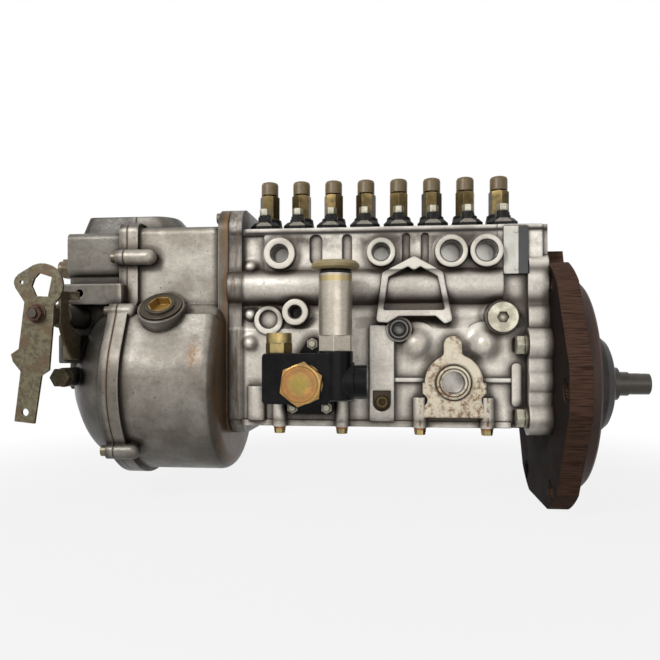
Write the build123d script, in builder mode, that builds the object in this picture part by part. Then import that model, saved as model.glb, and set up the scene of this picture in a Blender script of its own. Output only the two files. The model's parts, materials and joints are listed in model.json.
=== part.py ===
from build123d import *
import os
from math import cos, radians, sin, tan

# Eight-cylinder in-line diesel injection pump with a mechanical governor.
# Frame: the origin is on the camshaft axis at the mounting flange's engine-side face, +X runs along
# the camshaft to the drive end, +Z is up and the feed pump sits on the -Y side. All in millimetres.

# ------------------------------------------------------------------ driving dimensions
RUNNING_FIT = 0.05          # radial clearance of a shaft in its hole
SEAT_GAP = 0.3              # clearance where one piece rests on a curved or moving one

ELEMENT_COUNT = 8
ELEMENT_PITCH = 35.0
FLANGE_THICKNESS = 20.0
LAST_ELEMENT_SETBACK = 40.0     # last element to the drive end of the housing
FIRST_ELEMENT_SETBACK = 33.0    # governor joint to the first element

HOUSING_TOP = 158.5
HOUSING_BOTTOM = -35.5
LOWER_HALF_WIDTH = 52.0
UPPER_HALF_WIDTH = 46.0
WAIST_HEIGHT = 62.0             # where the housing steps in from the lower to the upper width
LIP_HEIGHT = 6.5
LIP_REACH = 3.0
JOINT_TOP = 182.0
JOINT_BOTTOM = -52.0
JOINT_HALF_WIDTH = 51.0
JOINT_CORNER = 24.0
JOINT_RIM = 14.0                # pump side of the governor joint
END_FLANGE_THICKNESS = 22.0
END_LOBE_RADIUS = 17.0
UPPER_BOLT_HEIGHT = 39.8
LOWER_BOLT_HEIGHT = -30.2
BOLT_HALF_SPAN = 60.0

CAM_BASE_RADIUS = 17.0
CAM_LIFT = 11.0
CAM_NOSE_RADIUS = 9.0
CAM_WIDTH = 14.0
SHAFT_RADIUS = 14.0
FEED_CAM_RADIUS = 20.0
FEED_CAM_THROW = 5.0
FEED_CAM_WIDTH = 10.0
CHAMBER_HALF_WIDTH = 32.0
CHAMBER_TOP = 33.0
TAPPET_RADIUS = 15.0
TAPPET_HEIGHT = 27.0
ROLLER_RADIUS = 8.0
ROLLER_WIDTH = 12.0
SHOULDER_HEIGHT = 88.0          # ledge that the plunger springs push up against
SHOULDER_THICKNESS = 3.0
SHOULDER_RADIUS = 11.0
BARREL_FOOT = 112.0
BARREL_RADIUS = 12.9
BARREL_NECK = 11.0
PLUNGER_RADIUS = 5.0

RACK_HEIGHT = 100.0
RACK_DEPTH = 25.0               # rack axis in front of the element axis
RACK_WIDTH = 12.0
RACK_BAR_HEIGHT = 12.0
RACK_TRAVEL = 8.0
RACK_OVERHANG = 95.0            # rack end inside the governor, from the joint
RACK_LEAD = 12.0
FULCRUM_PIN = 3.5
SLOT_GAP = 0.4                  # play of a ball or pin in its rack slot
SLEEVE_ARM = 22.0
SLEEVE_RADIUS = 9.5
SLEEVE_HEIGHT = 14.0
SLEEVE_BALL = 3.5

GALLERY_HEIGHT = 99.0
GALLERY_RADIUS = 19.5
GALLERY_AXIS_DEPTH = 40.0
PORT_HEIGHT = 132.0
PORT_FLARE = 3.5
PORT_FACE = 58.0                # how far in front of the shaft axis the port rings end

BUSH_LENGTH = 64.0
BUSH_WIDTH = 31.0
BUSH_SLAB = 11.0
BUSH_CORNER = 7.5
BUSH_FLANK = 4.0
BUSH_HEIGHT = 17.5
LUG_HEIGHT = 4.5
STUD_HALF_SPAN = 26.0
STUD_RADIUS = 3.0
HOLDER_FLATS = 18.5
HOLDER_HEX_HEIGHT = 25.0
HOLDER_TURN = 23.0              # each holder is tightened to another angle
HOLDER_NECK_RADIUS = 7.0
CAP_RADIUS = 9.2
CAP_HEIGHT = 14.2
CAP_BASE = 203.2

PLATE_CORNER_RADIUS = 129.0     # circle that trims the corners of the hexagonal flange plate
PLATE_APOTHEM = 121.0
PLATE_BOLT_CIRCLE = 231.0
PLATE_HOLE_RADIUS = 6.5
PLATE_BORE_RADIUS = 46.0
RING_RADIUS = 107.0
RING_THICKNESS = 15.0
NOSE_RADIUS = 53.0
NOSE_LENGTH = 46.0
SPIGOT_LENGTH = 14.0
BEARING_RADIUS = 31.0
BEARING_WIDTH = 16.0
COLLAR_RADIUS = 17.0
COLLAR_LENGTH = 13.0
SHANK_RADIUS = 12.4
SHANK_LENGTH = 11.0
DRIVE_RADIUS = 11.0
DRIVE_LENGTH = 21.0
KEYWAY_WIDTH = 6.0
KEYWAY_LENGTH = 9.5
KEYWAY_DEPTH = 4.0

GOVERNOR_RIM = 11.0
PARTING_FROM_JOINT = 108.5
BOX_HALF_WIDTH = 45.0
BOX_TOP = 164.0
DRUM_RADIUS = 94.0
SHOULDER_SLOPE = 24.0           # degrees up the drum where its straight shoulders start
SHOULDER_TOP = 71.0
END_ROUND = 14.0                # round of the governor's case next to the pump
WALL = 6.0
PARTING_RIM = 11.5
COVER_RIM = 8.5
RIM_STEP = 4.5
COVER_BOX_LENGTH = 61.5
COVER_BOX_TOP = 159.0
COVER_BOX_FLOOR = 113.0
DOME_DEPTH = 51.0
DOME_RADIUS = 85.0
DOME_END_RADIUS = 46.0
HUMP_TOP = 179.0
HUMP_HALF_WIDTH = 32.0
HUMP_REACH = 64.0               # foot of the hump on the pump side of the parting plane
HUMP_SLOPE = 24.0
FILLER_RADIUS = 21.0
FILLER_TILT = 48.0
FILLER_FROM_JOINT = 63.5
FILLER_SOCKET = 11.5

FEED_AXIS_HEIGHT = 4.0
FEED_BODY_FRONT = 112.0
FEED_BODY_BACK = 72.0
FEED_PLUG_FLATS = 36.0
FEED_PLUG_HEIGHT = 11.0
FEED_BORE = 14.0
PRIMER_FROM_FEED_AXIS = 28.7
PRIMER_RADIUS = 15.7
PRIMER_TOP = 106.0
PRIMER_DEPTH = 100.0
KNOB_RADIUS = 22.5
KNOB_THICKNESS = 8.0
KNOB_BASE = 109.5

COVER_SCREW_OFFSETS = (54.0, 116.8, 193.9, 258.7)
COVER_PLATE_THICKNESS = 6.0
COVER_SCREW_SPAN = 55.0
COVER_SCREW_RADIUS = 3.0

LEVER_PIVOT_FROM_JOINT = 163.5
LEVER_PIVOT_HEIGHT = 69.0
LEVER_FACE = 125.0              # front of the control lever
LEVER_THICKNESS = 3.0
LEVER_HEAD_RADIUS = 20.7
LEVER_ARM_LENGTH = 103.0
LEVER_SHAFT_RADIUS = 5.0
LEVER_BOSS_FACE = 84.0

BUSH_STUD_DEPTH = 14.0
NUT_FLATS = 10.0
NUT_HEIGHT = 7.0
END_BOLT_RADIUS = 5.0
END_BOLT_FLATS = 17.0
END_BOLT_HEAD = 7.5
END_BOLT_REACH = 14.0           # thread length inside the flange plate
SPRING_WASHER = 3.0
COVER_SCREW_LENGTH = 20.0
COVER_WASHER = 1.6
COVER_SCREW_HEAD = 5.0
CASE_SCREW_RADIUS = 3.0
CASE_SCREW_HEAD = 6.0
CASE_BOSS_RADIUS = 8.0
CASE_SCREW_DEPTH = 18.0

# ------------------------------------------------------------------ places worked out from them
HOUSING_END = -FLANGE_THICKNESS
LAST_ELEMENT = HOUSING_END - LAST_ELEMENT_SETBACK
FIRST_ELEMENT = LAST_ELEMENT - (ELEMENT_COUNT - 1) * ELEMENT_PITCH
HOUSING_START = FIRST_ELEMENT - FIRST_ELEMENT_SETBACK
HOUSING_LENGTH = HOUSING_END - HOUSING_START
ELEMENTS = [FIRST_ELEMENT + ELEMENT_PITCH * i for i in range(ELEMENT_COUNT)]
PARTING = HOUSING_START - PARTING_FROM_JOINT
CAM_REACH = CAM_BASE_RADIUS + CAM_LIFT
ROLLER_HEIGHT = CAM_REACH + SEAT_GAP + ROLLER_RADIUS
TAPPET_BORE = TAPPET_RADIUS + RUNNING_FIT
FEED_AXIS = FIRST_ELEMENT + 1.5 * ELEMENT_PITCH
PRIMER_AXIS = FEED_AXIS + PRIMER_FROM_FEED_AXIS
LEVER_PIVOT = HOUSING_START - LEVER_PIVOT_FROM_JOINT
NOSE_END = NOSE_LENGTH
COVER_SCREWS = [(HOUSING_START + x, side * COVER_SCREW_SPAN) for x in COVER_SCREW_OFFSETS for side in (-1, 1)]
COVER_FACE = HOUSING_BOTTOM - COVER_PLATE_THICKNESS
BUSH_STUDS = [(x, side * STUD_HALF_SPAN) for x in ELEMENTS for side in (-1, 1)]
END_BOLTS = [(side * BOLT_HALF_SPAN, z) for side in (-1, 1) for z in (UPPER_BOLT_HEIGHT, LOWER_BOLT_HEIGHT)]
CASE_SCREWS = [
    (side * y, z, boss_length)
    for side in (-1, 1)
    for y, z, boss_length in ((53.0, 131.0, 25.0), (68.0, 74.0, 12.0), (76.0, -66.0, 17.0))
]
JOINT_SCREWS = [(side * 34.0, JOINT_TOP - 9.0) for side in (-1, 1)]
BUSH_TOP = HOUSING_TOP + BUSH_HEIGHT
RACK_START = HOUSING_START - RACK_OVERHANG
RACK_END = ELEMENTS[-1] + RACK_LEAD
FULCRUM = RACK_START + 10.0
CHAMBER_START = FIRST_ELEMENT - CAM_WIDTH / 2 - 5.0
CHAMBER_END = LAST_ELEMENT + CAM_WIDTH / 2 + 5.0
HEAD_FACE = HOUSING_END - END_FLANGE_THICKNESS
SHANK_START = NOSE_END + COLLAR_LENGTH
DRIVE_START = SHANK_START + SHANK_LENGTH


# ------------------------------------------------------------------ shared helpers
def front_plane(x, z, depth):
    """Plane that faces -Y, with its origin at depth in front of the camshaft axis."""
    return Plane(origin=(x, -depth, z), x_dir=(1, 0, 0), z_dir=(0, -1, 0))


def end_plane(x):
    """Plane across the camshaft that faces +X, with Y and Z as its own axes."""
    return Plane(origin=(x, 0, 0), x_dir=(0, 1, 0), z_dir=(1, 0, 0))


def cross_plane(x, y, z):
    """Plane across the camshaft with its origin at any point, facing +X."""
    return Plane(origin=(x, y, z), x_dir=(0, 1, 0), z_dir=(1, 0, 0))


def level_plane(x, y, z):
    """Level plane that faces up."""
    return Plane(origin=(x, y, z), x_dir=(1, 0, 0), z_dir=(0, 0, 1))


def round_bar(plane, radius, length, mode=Mode.ADD):
    """Cylinder that rises from a plane inside the part that is being built."""
    with BuildSketch(plane) as outline:
        Circle(radius)
    extrude(outline.sketch, amount=length, mode=mode)


def bore(plane, radius, depth):
    """Round hole that gives a piece of this radius a running fit."""
    round_bar(plane, radius + RUNNING_FIT, depth, mode=Mode.SUBTRACT)


def hex_bar(plane, flats, length, turn=0.0, mode=Mode.ADD):
    """Hexagonal bar of a given width across flats."""
    with BuildSketch(plane) as outline:
        RegularPolygon(flats / 2, 6, major_radius=False, rotation=turn)
    extrude(outline.sketch, amount=length, mode=mode)


def block(plane, width, height, length, corner=0.0, mode=Mode.ADD):
    """Rectangular block, with rounded corners where a corner radius is given."""
    with BuildSketch(plane) as outline:
        if corner:
            RectangleRounded(width, height, corner)
        else:
            Rectangle(width, height)
    extrude(outline.sketch, amount=length, mode=mode)


def outline_block(plane, points, length, corner=0.0, mode=Mode.ADD):
    """Block over a closed outline of straight runs, with every corner rounded alike."""
    with BuildSketch(plane) as outline:
        with BuildLine():
            Polyline(*points, close=True)
        make_face()
        if corner:
            fillet(outline.vertices(), corner)
    extrude(outline.sketch, amount=length, mode=mode)


def turned(plane, points, mode=Mode.ADD):
    """Body turned about a plane's local Y axis from a half outline of (radius, height) points."""
    with BuildSketch(plane) as outline:
        with BuildLine():
            Polyline(*points, close=True)
        make_face()
    revolve(outline.sketch, axis=Axis(plane.origin, plane.y_dir), mode=mode)


def hex_chamfer(plane, flats, height):
    """Cut the 30 degree chamfer from the corners of a hexagon that ends at a height along local Y."""
    inner = 0.48 * flats
    outer = 0.62 * flats
    turned(plane, [(inner, height), (outer, height), (outer, height - 0.58 * (outer - inner))], Mode.SUBTRACT)


def upright(x, y, z):
    """Plane whose local Y runs up, for bodies turned about an upright axis."""
    return Plane(origin=(x, y, z), x_dir=(1, 0, 0), z_dir=(0, -1, 0))


def along_shaft(x):
    """Plane whose local Y runs to +X, for bodies turned about the camshaft axis."""
    return Plane(origin=(x, 0, 0), x_dir=(0, 0, 1), z_dir=(0, 1, 0))


def facing_front(x, z, depth):
    """Plane whose local Y runs to -Y, for bodies turned about an axis that faces the front."""
    return Plane(origin=(x, -depth, z), x_dir=(1, 0, 0), z_dir=(0, 0, -1))


def finish_row(piece, name, turn=0.0):
    """Repeat a piece that is built at the origin over every element, and write the row to one file."""
    row = Compound([Pos(x, 0, 0) * Rot(0, 0, turn * i) * piece.part for i, x in enumerate(ELEMENTS)])
    row.label = name
    export_step(row, "parts/" + name + ".step")


def finish(piece, name):
    """Label a piece and write it to its own file."""
    piece.part.label = name
    export_step(piece.part, "parts/" + name + ".step")


os.makedirs("parts", exist_ok=True)


# ------------------------------------------------------------------ pump housing
def joint_outline(grow=0.0):
    """Outline of the joint between the pump housing and the governor, in Y and Z."""
    low = JOINT_BOTTOM - grow
    high = JOINT_TOP + grow
    half = JOINT_HALF_WIDTH + grow
    with Locations((0, (low + high) / 2)):
        RectangleRounded(2 * half, high - low, JOINT_CORNER)


def flared_boss(x, z, radius, wall, face, flare):
    """Round cast boss that flares softly out of a wall up to its flat face."""
    plane = facing_front(x, z, wall)
    height = face - wall
    with BuildSketch(plane) as outline:
        with BuildLine():
            Spline((radius + flare, 0), (radius, min(flare, height - 1)), tangents=((-1, 0), (0, 1)))
            Polyline((radius, min(flare, height - 1)), (radius, height), (0, height), (0, -2))
            Polyline((0, -2), (radius + flare, -2), (radius + flare, 0))
        make_face()
    revolve(outline.sketch, axis=Axis(plane.origin, plane.y_dir))


def ring_port(x, z, radius, hole, wall, face, depth):
    """Raised, machined port with a blind bore."""
    flared_boss(x, z, radius, wall, face, PORT_FLARE)
    round_bar(front_plane(x, z, face - depth), hole, depth, mode=Mode.SUBTRACT)
    round_bar(front_plane(x, z, face - 1.5), hole + 1.2, 1.5, mode=Mode.SUBTRACT)


def soft_lump(x, z, radius, height, wall):
    """Cast lump that swells softly out of a wall."""
    plane = facing_front(x, z, wall)
    with BuildSketch(plane) as outline:
        with BuildLine():
            Spline((radius, 0), (0, height), tangents=((-1, 0), (-1, 0)))
            Polyline((0, height), (0, -2), (radius, -2), (radius, 0))
        make_face()
    revolve(outline.sketch, axis=Axis(plane.origin, plane.y_dir))


PORTS = (
    (HOUSING_START + 53.9, 15.7, 8.4),
    (HOUSING_START + 155.7, 14.0, 8.2),
    (HOUSING_START + 224.3, 15.8, 10.0),
    (HOUSING_START + 258.3, 15.8, 10.0),
)
SIDE_PORT = (HOUSING_START + 70.0, 73.0, 13.0, 6.2)
PAD_CENTRE = HOUSING_START + 226.4
PAD_HEIGHT = 3.0
PAD_RADIUS = 28.0
PAD_FACE = 61.0
PAD_FOOT = -34.0
FRAME_CENTRE = HOUSING_START + 188.0
FRAME_FACE = 61.0
COLUMN_LEFT = HOUSING_START + 144.5
COLUMN_RIGHT = HOUSING_START + 168.5
COLUMN_FACE = 57.0
GALLERY_PLUG = (HOUSING_END - 44.5, 66.9)
BLANK_PLUG = (HOUSING_START + 173.4, 55.6)
GALLERY_PAD = 55.0
BLANK_PAD = 58.0
PLATE_PAD = 50.5
BAND_START = HOUSING_START + 37.0
BAND_LOW = 116.0
BAND_HIGH = 152.5
BAND_RISE = 3.5
POCKETS = (
    (HOUSING_START + 90.0, 13.0),
    (HOUSING_START + 121.5, 10.0),
    (HOUSING_START + 180.5, 8.0),
    (HOUSING_START + 199.0, 8.0),
)
PLATE_X = HOUSING_END - 31.0
PLATE_Z = 133.0
PLATE_WIDTH = 23.5
PLATE_HEIGHT = 46.5
FEED_STUDS = ((2.8, 37.0), (-17.0, -26.0), (17.0, -26.0))
FEED_STUD_RADIUS = 3.0
FEED_STUD_DEPTH = 12.0
FEED_TAPPET_RADIUS = 8.0
FEED_TAPPET_BORE = FEED_TAPPET_RADIUS + RUNNING_FIT
PLUG_THREAD = 6.0
FRONT = LOWER_HALF_WIDTH
FRONT_UPPER = UPPER_HALF_WIDTH
LIP_END = HOUSING_END - 32.0

with BuildPart() as pump_housing:
    # casting: wide below, narrower above the waist, the same section from end to end
    outline_block(
        end_plane(HOUSING_START),
        [
            (-FRONT, HOUSING_BOTTOM),
            (-FRONT, WAIST_HEIGHT - 6),
            (-FRONT_UPPER, WAIST_HEIGHT + 6),
            (-FRONT_UPPER, HOUSING_TOP),
            (FRONT_UPPER, HOUSING_TOP),
            (FRONT_UPPER, WAIST_HEIGHT + 6),
            (FRONT, WAIST_HEIGHT - 6),
            (FRONT, HOUSING_BOTTOM),
        ],
        HOUSING_LENGTH,
    )
    # governor joint rim, lip along the top edge and block under the name plate
    with BuildSketch(end_plane(HOUSING_START)):
        joint_outline()
    extrude(amount=JOINT_RIM)
    block(
        front_plane((HOUSING_START + LIP_END) / 2, HOUSING_TOP - LIP_HEIGHT / 2, FRONT_UPPER - 2),
        LIP_END - HOUSING_START,
        LIP_HEIGHT,
        LIP_REACH + 2,
    )
    block(front_plane(HOUSING_END - 27.0, 134.0, FRONT_UPPER - 2), 43.0, 49.0, 6.0, 1.5)
    # raised pentagon frame
    with BuildSketch(front_plane(FRAME_CENTRE, 0, FRONT_UPPER - 2)) as frame_outline:
        with BuildLine():
            Polyline(
                (0, 127),
                (28, 111),
                (37, 64),
                (30, 60.5),
                (21, 68.5),
                (-15, 68.5),
                (-26, 62),
                (-37, 63),
                (-31, 111),
                close=True,
            )
        make_face()
        fillet(frame_outline.vertices(), 3.0)
    extrude(amount=FRAME_FACE - FRONT_UPPER + 2)
    with BuildSketch(front_plane(FRAME_CENTRE, 0, FRAME_FACE)) as frame_window:
        with BuildLine():
            Polyline((-6, 117), (0, 113), (6, 117), (23, 107), (30, 74), (-30, 74), (-25, 107), close=True)
        make_face()
        fillet(frame_window.vertices(), 2.0)
    extrude(amount=-(FRAME_FACE - FRONT_UPPER - 3), mode=Mode.SUBTRACT)
    # control rack bulge
    round_bar(
        cross_plane(HOUSING_START, -GALLERY_AXIS_DEPTH, GALLERY_HEIGHT),
        GALLERY_RADIUS,
        HOUSING_LENGTH - 44.0,
    )
    # raised band round the fuel ports, with four cast pockets
    block(
        front_plane((BAND_START + LIP_END) / 2, (BAND_LOW + BAND_HIGH) / 2, FRONT_UPPER - 2),
        LIP_END - BAND_START,
        BAND_HIGH - BAND_LOW,
        BAND_RISE + 2,
        3.0,
    )
    for pocket_x, pocket_width in POCKETS:
        block(
            front_plane(pocket_x, (BAND_LOW + BAND_HIGH) / 2 + 2, FRONT_UPPER),
            pocket_width,
            BAND_HIGH - BAND_LOW - 6,
            BAND_RISE,
            0.45 * pocket_width,
            mode=Mode.SUBTRACT,
        )
    for port_x, port_radius, port_hole in PORTS:
        ring_port(port_x, PORT_HEIGHT, port_radius, port_hole, FRONT_UPPER + BAND_RISE, PORT_FACE, 26.0)
    # side port and the recessed pad beside it
    side_x, side_z, side_radius, side_hole = SIDE_PORT
    ring_port(side_x, side_z, side_radius, side_hole, FRONT_UPPER, PORT_FACE + 1, 24.0)
    flared_boss(HOUSING_START + 42.0, 65.0, 14.5, FRONT_UPPER, FRONT + 2, 4.0)
    round_bar(front_plane(HOUSING_START + 42.0, 66.0, FRONT_UPPER + 4), 9.7, 12.0, mode=Mode.SUBTRACT)
    # bosses for the two screwed plugs
    flared_boss(BLANK_PLUG[0], BLANK_PLUG[1], 12.5, FRONT_UPPER, BLANK_PAD, 5.0)
    flared_boss(GALLERY_PLUG[0], GALLERY_PLUG[1], 16.5, FRONT_UPPER, GALLERY_PAD, 5.0)
    # cast lumps on both sides of the frame and beside the governor joint
    soft_lump(HOUSING_START + 190.9, 41.0, 22.0, 11.0, FRONT)
    soft_lump(HOUSING_END - 61.6, 41.0, 22.0, 11.0, FRONT)
    soft_lump(HOUSING_START + 23.0, 42.0, 12.0, 8.0, FRONT)
    for lump_height in (71.0, 119.0):
        soft_lump(HOUSING_START + 23.0, lump_height, 12.0, 9.0, FRONT_UPPER)
    # ribs on both sides of the pad, then the pear-shaped machined pad with its foot, groove and bore
    block(front_plane((COLUMN_RIGHT + PAD_CENTRE) / 2, 5.5, FRONT - 2), PAD_CENTRE - COLUMN_RIGHT, 4.0, 6.0)
    block(
        front_plane((PAD_CENTRE + HOUSING_END - 30.0) / 2, 5.5, FRONT - 2),
        HOUSING_END - 30.0 - PAD_CENTRE,
        4.0,
        6.0,
    )
    with BuildSketch(front_plane(PAD_CENTRE, PAD_HEIGHT, FRONT)) as pear:
        Circle(PAD_RADIUS)
        with Locations((-1, 36.8)):
            Circle(8.7)
        with Locations((-1, 24)):
            Rectangle(17.4, 28)
        with Locations((0.5, PAD_FOOT / 2)):
            Rectangle(2 * PAD_RADIUS + 5, -PAD_FOOT)
        fillet(pear.vertices().filter_by_position(Axis.Y, 10, 30), 5.0)
        with Locations((-PAD_RADIUS - 4, -17.0), (PAD_RADIUS + 5, -17.0)):
            Circle(6.5, mode=Mode.SUBTRACT)
    extrude(amount=PAD_FACE - FRONT)
    round_bar(front_plane(PAD_CENTRE, PAD_HEIGHT, PAD_FACE), 11.0, -17.0, mode=Mode.SUBTRACT)
    with BuildSketch(front_plane(PAD_CENTRE, PAD_HEIGHT, PAD_FACE - 1.5)):
        Circle(18.5)
        Circle(16.5, mode=Mode.SUBTRACT)
    extrude(amount=1.5, mode=Mode.SUBTRACT)
    # column with the socket screw's pocket, and the ribs that run from it
    block(
        front_plane((COLUMN_LEFT + COLUMN_RIGHT) / 2, 12.0, FRONT - 2),
        COLUMN_RIGHT - COLUMN_LEFT,
        2 * (12.0 - HOUSING_BOTTOM),
        COLUMN_FACE - FRONT + 2,
        1.5,
    )
    with BuildSketch(front_plane((COLUMN_LEFT + COLUMN_RIGHT) / 2, -17.0, COLUMN_FACE)):
        Circle(8.8)
        with Locations((0, 6.0)):
            Rectangle(17.6, 12.0)
    extrude(amount=-14.0, mode=Mode.SUBTRACT)
    block(front_plane(HOUSING_END - 31.5, 1.0, FRONT - 2), 9.0, 42.0, 7.0, 4.0)
    # screw columns above the bottom cover, front and rear
    for side in (-1, 1):
        for offset in COVER_SCREW_OFFSETS:
            with BuildSketch(level_plane(HOUSING_START + offset, side * COVER_SCREW_SPAN, HOUSING_BOTTOM)):
                Circle(7.0)
                with Locations((0, -side * 4)):
                    Rectangle(14.0, 8.0)
            extrude(amount=24.0)
    round_bar(level_plane(HOUSING_START + 30.0, -FRONT + 2, HOUSING_BOTTOM), 10.0, 34.0)
    # drive end: four bolt lobes joined by a waisted web
    with BuildSketch(end_plane(HOUSING_END)):
        with Locations((0, 4.0)):
            Rectangle(2 * (BOLT_HALF_SPAN + 8), 92.0)
        for side in (-1, 1):
            for bolt_height in (UPPER_BOLT_HEIGHT, LOWER_BOLT_HEIGHT):
                with Locations((side * (BOLT_HALF_SPAN - 3), bolt_height)):
                    Circle(END_LOBE_RADIUS)
            with Locations((side * (BOLT_HALF_SPAN - 3), (UPPER_BOLT_HEIGHT + LOWER_BOLT_HEIGHT) / 2)):
                Circle(END_LOBE_RADIUS - 2)
    extrude(amount=-END_FLANGE_THICKNESS)
    with BuildSketch(end_plane(HOUSING_END)):
        with Locations((0, 84.0)):
            RectangleRounded(2 * (FRONT_UPPER + 8), 92.0, 14.0)
        with Locations((0, 60.0)):
            RectangleRounded(2 * (FRONT_UPPER + 13), 40.0, 10.0)
    extrude(amount=-END_FLANGE_THICKNESS + 2)
    # inside: cam chamber, drive bore, bearing seat and the tall element bores
    block(
        level_plane((CHAMBER_START + CHAMBER_END) / 2, 0, HOUSING_BOTTOM),
        CHAMBER_END - CHAMBER_START,
        2 * CHAMBER_HALF_WIDTH,
        CHAMBER_TOP - HOUSING_BOTTOM,
        5.0,
        mode=Mode.SUBTRACT,
    )
    round_bar(end_plane(HOUSING_END - SPIGOT_LENGTH), PLATE_BORE_RADIUS, SPIGOT_LENGTH, mode=Mode.SUBTRACT)
    round_bar(end_plane(HOUSING_END - 36.0), CAM_REACH + 2, 36.0, mode=Mode.SUBTRACT)
    round_bar(end_plane(HOUSING_START), BEARING_RADIUS, BEARING_WIDTH, mode=Mode.SUBTRACT)
    round_bar(
        end_plane(HOUSING_START), BEARING_RADIUS - 5, CHAMBER_START - HOUSING_START + 1, mode=Mode.SUBTRACT
    )
    with BuildSketch(Plane.XY.offset(CHAMBER_TOP - 1)):
        with Locations(*[(x, 0) for x in ELEMENTS]):
            Circle(TAPPET_BORE)
    extrude(amount=SHOULDER_HEIGHT - CHAMBER_TOP + 1, mode=Mode.SUBTRACT)
    with BuildSketch(Plane.XY.offset(SHOULDER_HEIGHT)):
        with Locations(*[(x, 0) for x in ELEMENTS]):
            Circle(SHOULDER_RADIUS)
    extrude(amount=SHOULDER_THICKNESS, mode=Mode.SUBTRACT)
    with BuildSketch(Plane.XY.offset(SHOULDER_HEIGHT + SHOULDER_THICKNESS)):
        with Locations(*[(x, 0) for x in ELEMENTS]):
            Circle(TAPPET_BORE)
    extrude(amount=BARREL_FOOT - SHOULDER_HEIGHT - SHOULDER_THICKNESS, mode=Mode.SUBTRACT)
    with BuildSketch(Plane.XY.offset(BARREL_FOOT)):
        with Locations(*[(x, 0) for x in ELEMENTS]):
            Circle(BARREL_RADIUS)
    extrude(amount=HOUSING_TOP - BARREL_FOOT, mode=Mode.SUBTRACT)
    # rack tunnel, open to the governor
    block(
        cross_plane(HOUSING_START, -RACK_DEPTH + 4, RACK_HEIGHT),
        RACK_WIDTH + 10.0,
        RACK_BAR_HEIGHT + 4.0,
        RACK_END + RACK_TRAVEL + 4 - HOUSING_START,
        mode=Mode.SUBTRACT,
    )
    # flat seat of the name plate
    block(
        front_plane(PLATE_X, PLATE_Z, PLATE_PAD), PLATE_WIDTH + 1, PLATE_HEIGHT + 1, 8.0, mode=Mode.SUBTRACT
    )
    # threaded seats of the two plugs, and the feed pump's studs and tappet bore
    bore(front_plane(GALLERY_PLUG[0], GALLERY_PLUG[1], GALLERY_PAD), PLUG_THREAD, -9.0)
    bore(front_plane(BLANK_PLUG[0], BLANK_PLUG[1], BLANK_PAD), 9.5, -9.0)
    round_bar(front_plane(BLANK_PLUG[0], BLANK_PLUG[1], BLANK_PAD), 11.0, 6.0, mode=Mode.SUBTRACT)
    round_bar(
        front_plane(FEED_AXIS, FEED_AXIS_HEIGHT, CHAMBER_HALF_WIDTH - 2),
        FEED_TAPPET_BORE,
        30.0,
        mode=Mode.SUBTRACT,
    )
    for stud_x, stud_z in FEED_STUDS:
        round_bar(
            front_plane(FEED_AXIS + stud_x, FEED_AXIS_HEIGHT + stud_z, FRONT),
            FEED_STUD_RADIUS + RUNNING_FIT,
            -FEED_STUD_DEPTH,
            mode=Mode.SUBTRACT,
        )
    # screw, stud and bolt holes
    with Locations(*[(x, y, HOUSING_BOTTOM + COVER_SCREW_LENGTH / 2 - 4) for x, y in COVER_SCREWS]):
        Cylinder(COVER_SCREW_RADIUS + RUNNING_FIT, COVER_SCREW_LENGTH - 4, mode=Mode.SUBTRACT)
    with Locations(*[(x, y, HOUSING_TOP - BUSH_STUD_DEPTH / 2) for x, y in BUSH_STUDS]):
        Cylinder(STUD_RADIUS + RUNNING_FIT, BUSH_STUD_DEPTH + 1, mode=Mode.SUBTRACT)
    with BuildSketch(end_plane(HOUSING_END)):
        with Locations(*END_BOLTS):
            Circle(END_BOLT_RADIUS + RUNNING_FIT)
    extrude(amount=-END_FLANGE_THICKNESS, mode=Mode.SUBTRACT)
    with BuildSketch(end_plane(HEAD_FACE)):
        with Locations(*END_BOLTS):
            Circle(END_BOLT_FLATS / 2 + 2.0)
    extrude(amount=-(SPRING_WASHER + END_BOLT_HEAD + 2), mode=Mode.SUBTRACT)
    with BuildSketch(end_plane(HOUSING_START)):
        with Locations(*JOINT_SCREWS):
            Circle(CASE_SCREW_RADIUS + RUNNING_FIT)
    extrude(amount=JOINT_RIM - 3, mode=Mode.SUBTRACT)
finish(pump_housing, "pump_housing")


# ------------------------------------------------------------------ bottom cover and its screws
with BuildPart() as bottom_cover:
    with BuildSketch(Plane.XY.offset(COVER_FACE)):
        with Locations(((HOUSING_START + JOINT_RIM + HOUSING_END - END_FLANGE_THICKNESS) / 2, 0)):
            Rectangle(HOUSING_LENGTH - JOINT_RIM - END_FLANGE_THICKNESS - 1, 2 * FRONT + 2)
        with Locations((HEAD_FACE, -BOLT_HALF_SPAN), (HEAD_FACE, BOLT_HALF_SPAN)):
            Rectangle(28.0, 24.0, mode=Mode.SUBTRACT)
        with Locations(*COVER_SCREWS):
            Circle(7.0)
        with Locations(*COVER_SCREWS):
            Circle(COVER_SCREW_RADIUS + RUNNING_FIT, mode=Mode.SUBTRACT)
    extrude(amount=COVER_PLATE_THICKNESS)
finish(bottom_cover, "bottom_cover")

with BuildPart() as bottom_cover_washers:
    with BuildSketch(Plane.XY.offset(COVER_FACE - COVER_WASHER)):
        with Locations(*COVER_SCREWS):
            Circle(6.0)
        with Locations(*COVER_SCREWS):
            Circle(COVER_SCREW_RADIUS + RUNNING_FIT, mode=Mode.SUBTRACT)
    extrude(amount=COVER_WASHER)
finish(bottom_cover_washers, "bottom_cover_washers")

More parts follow.
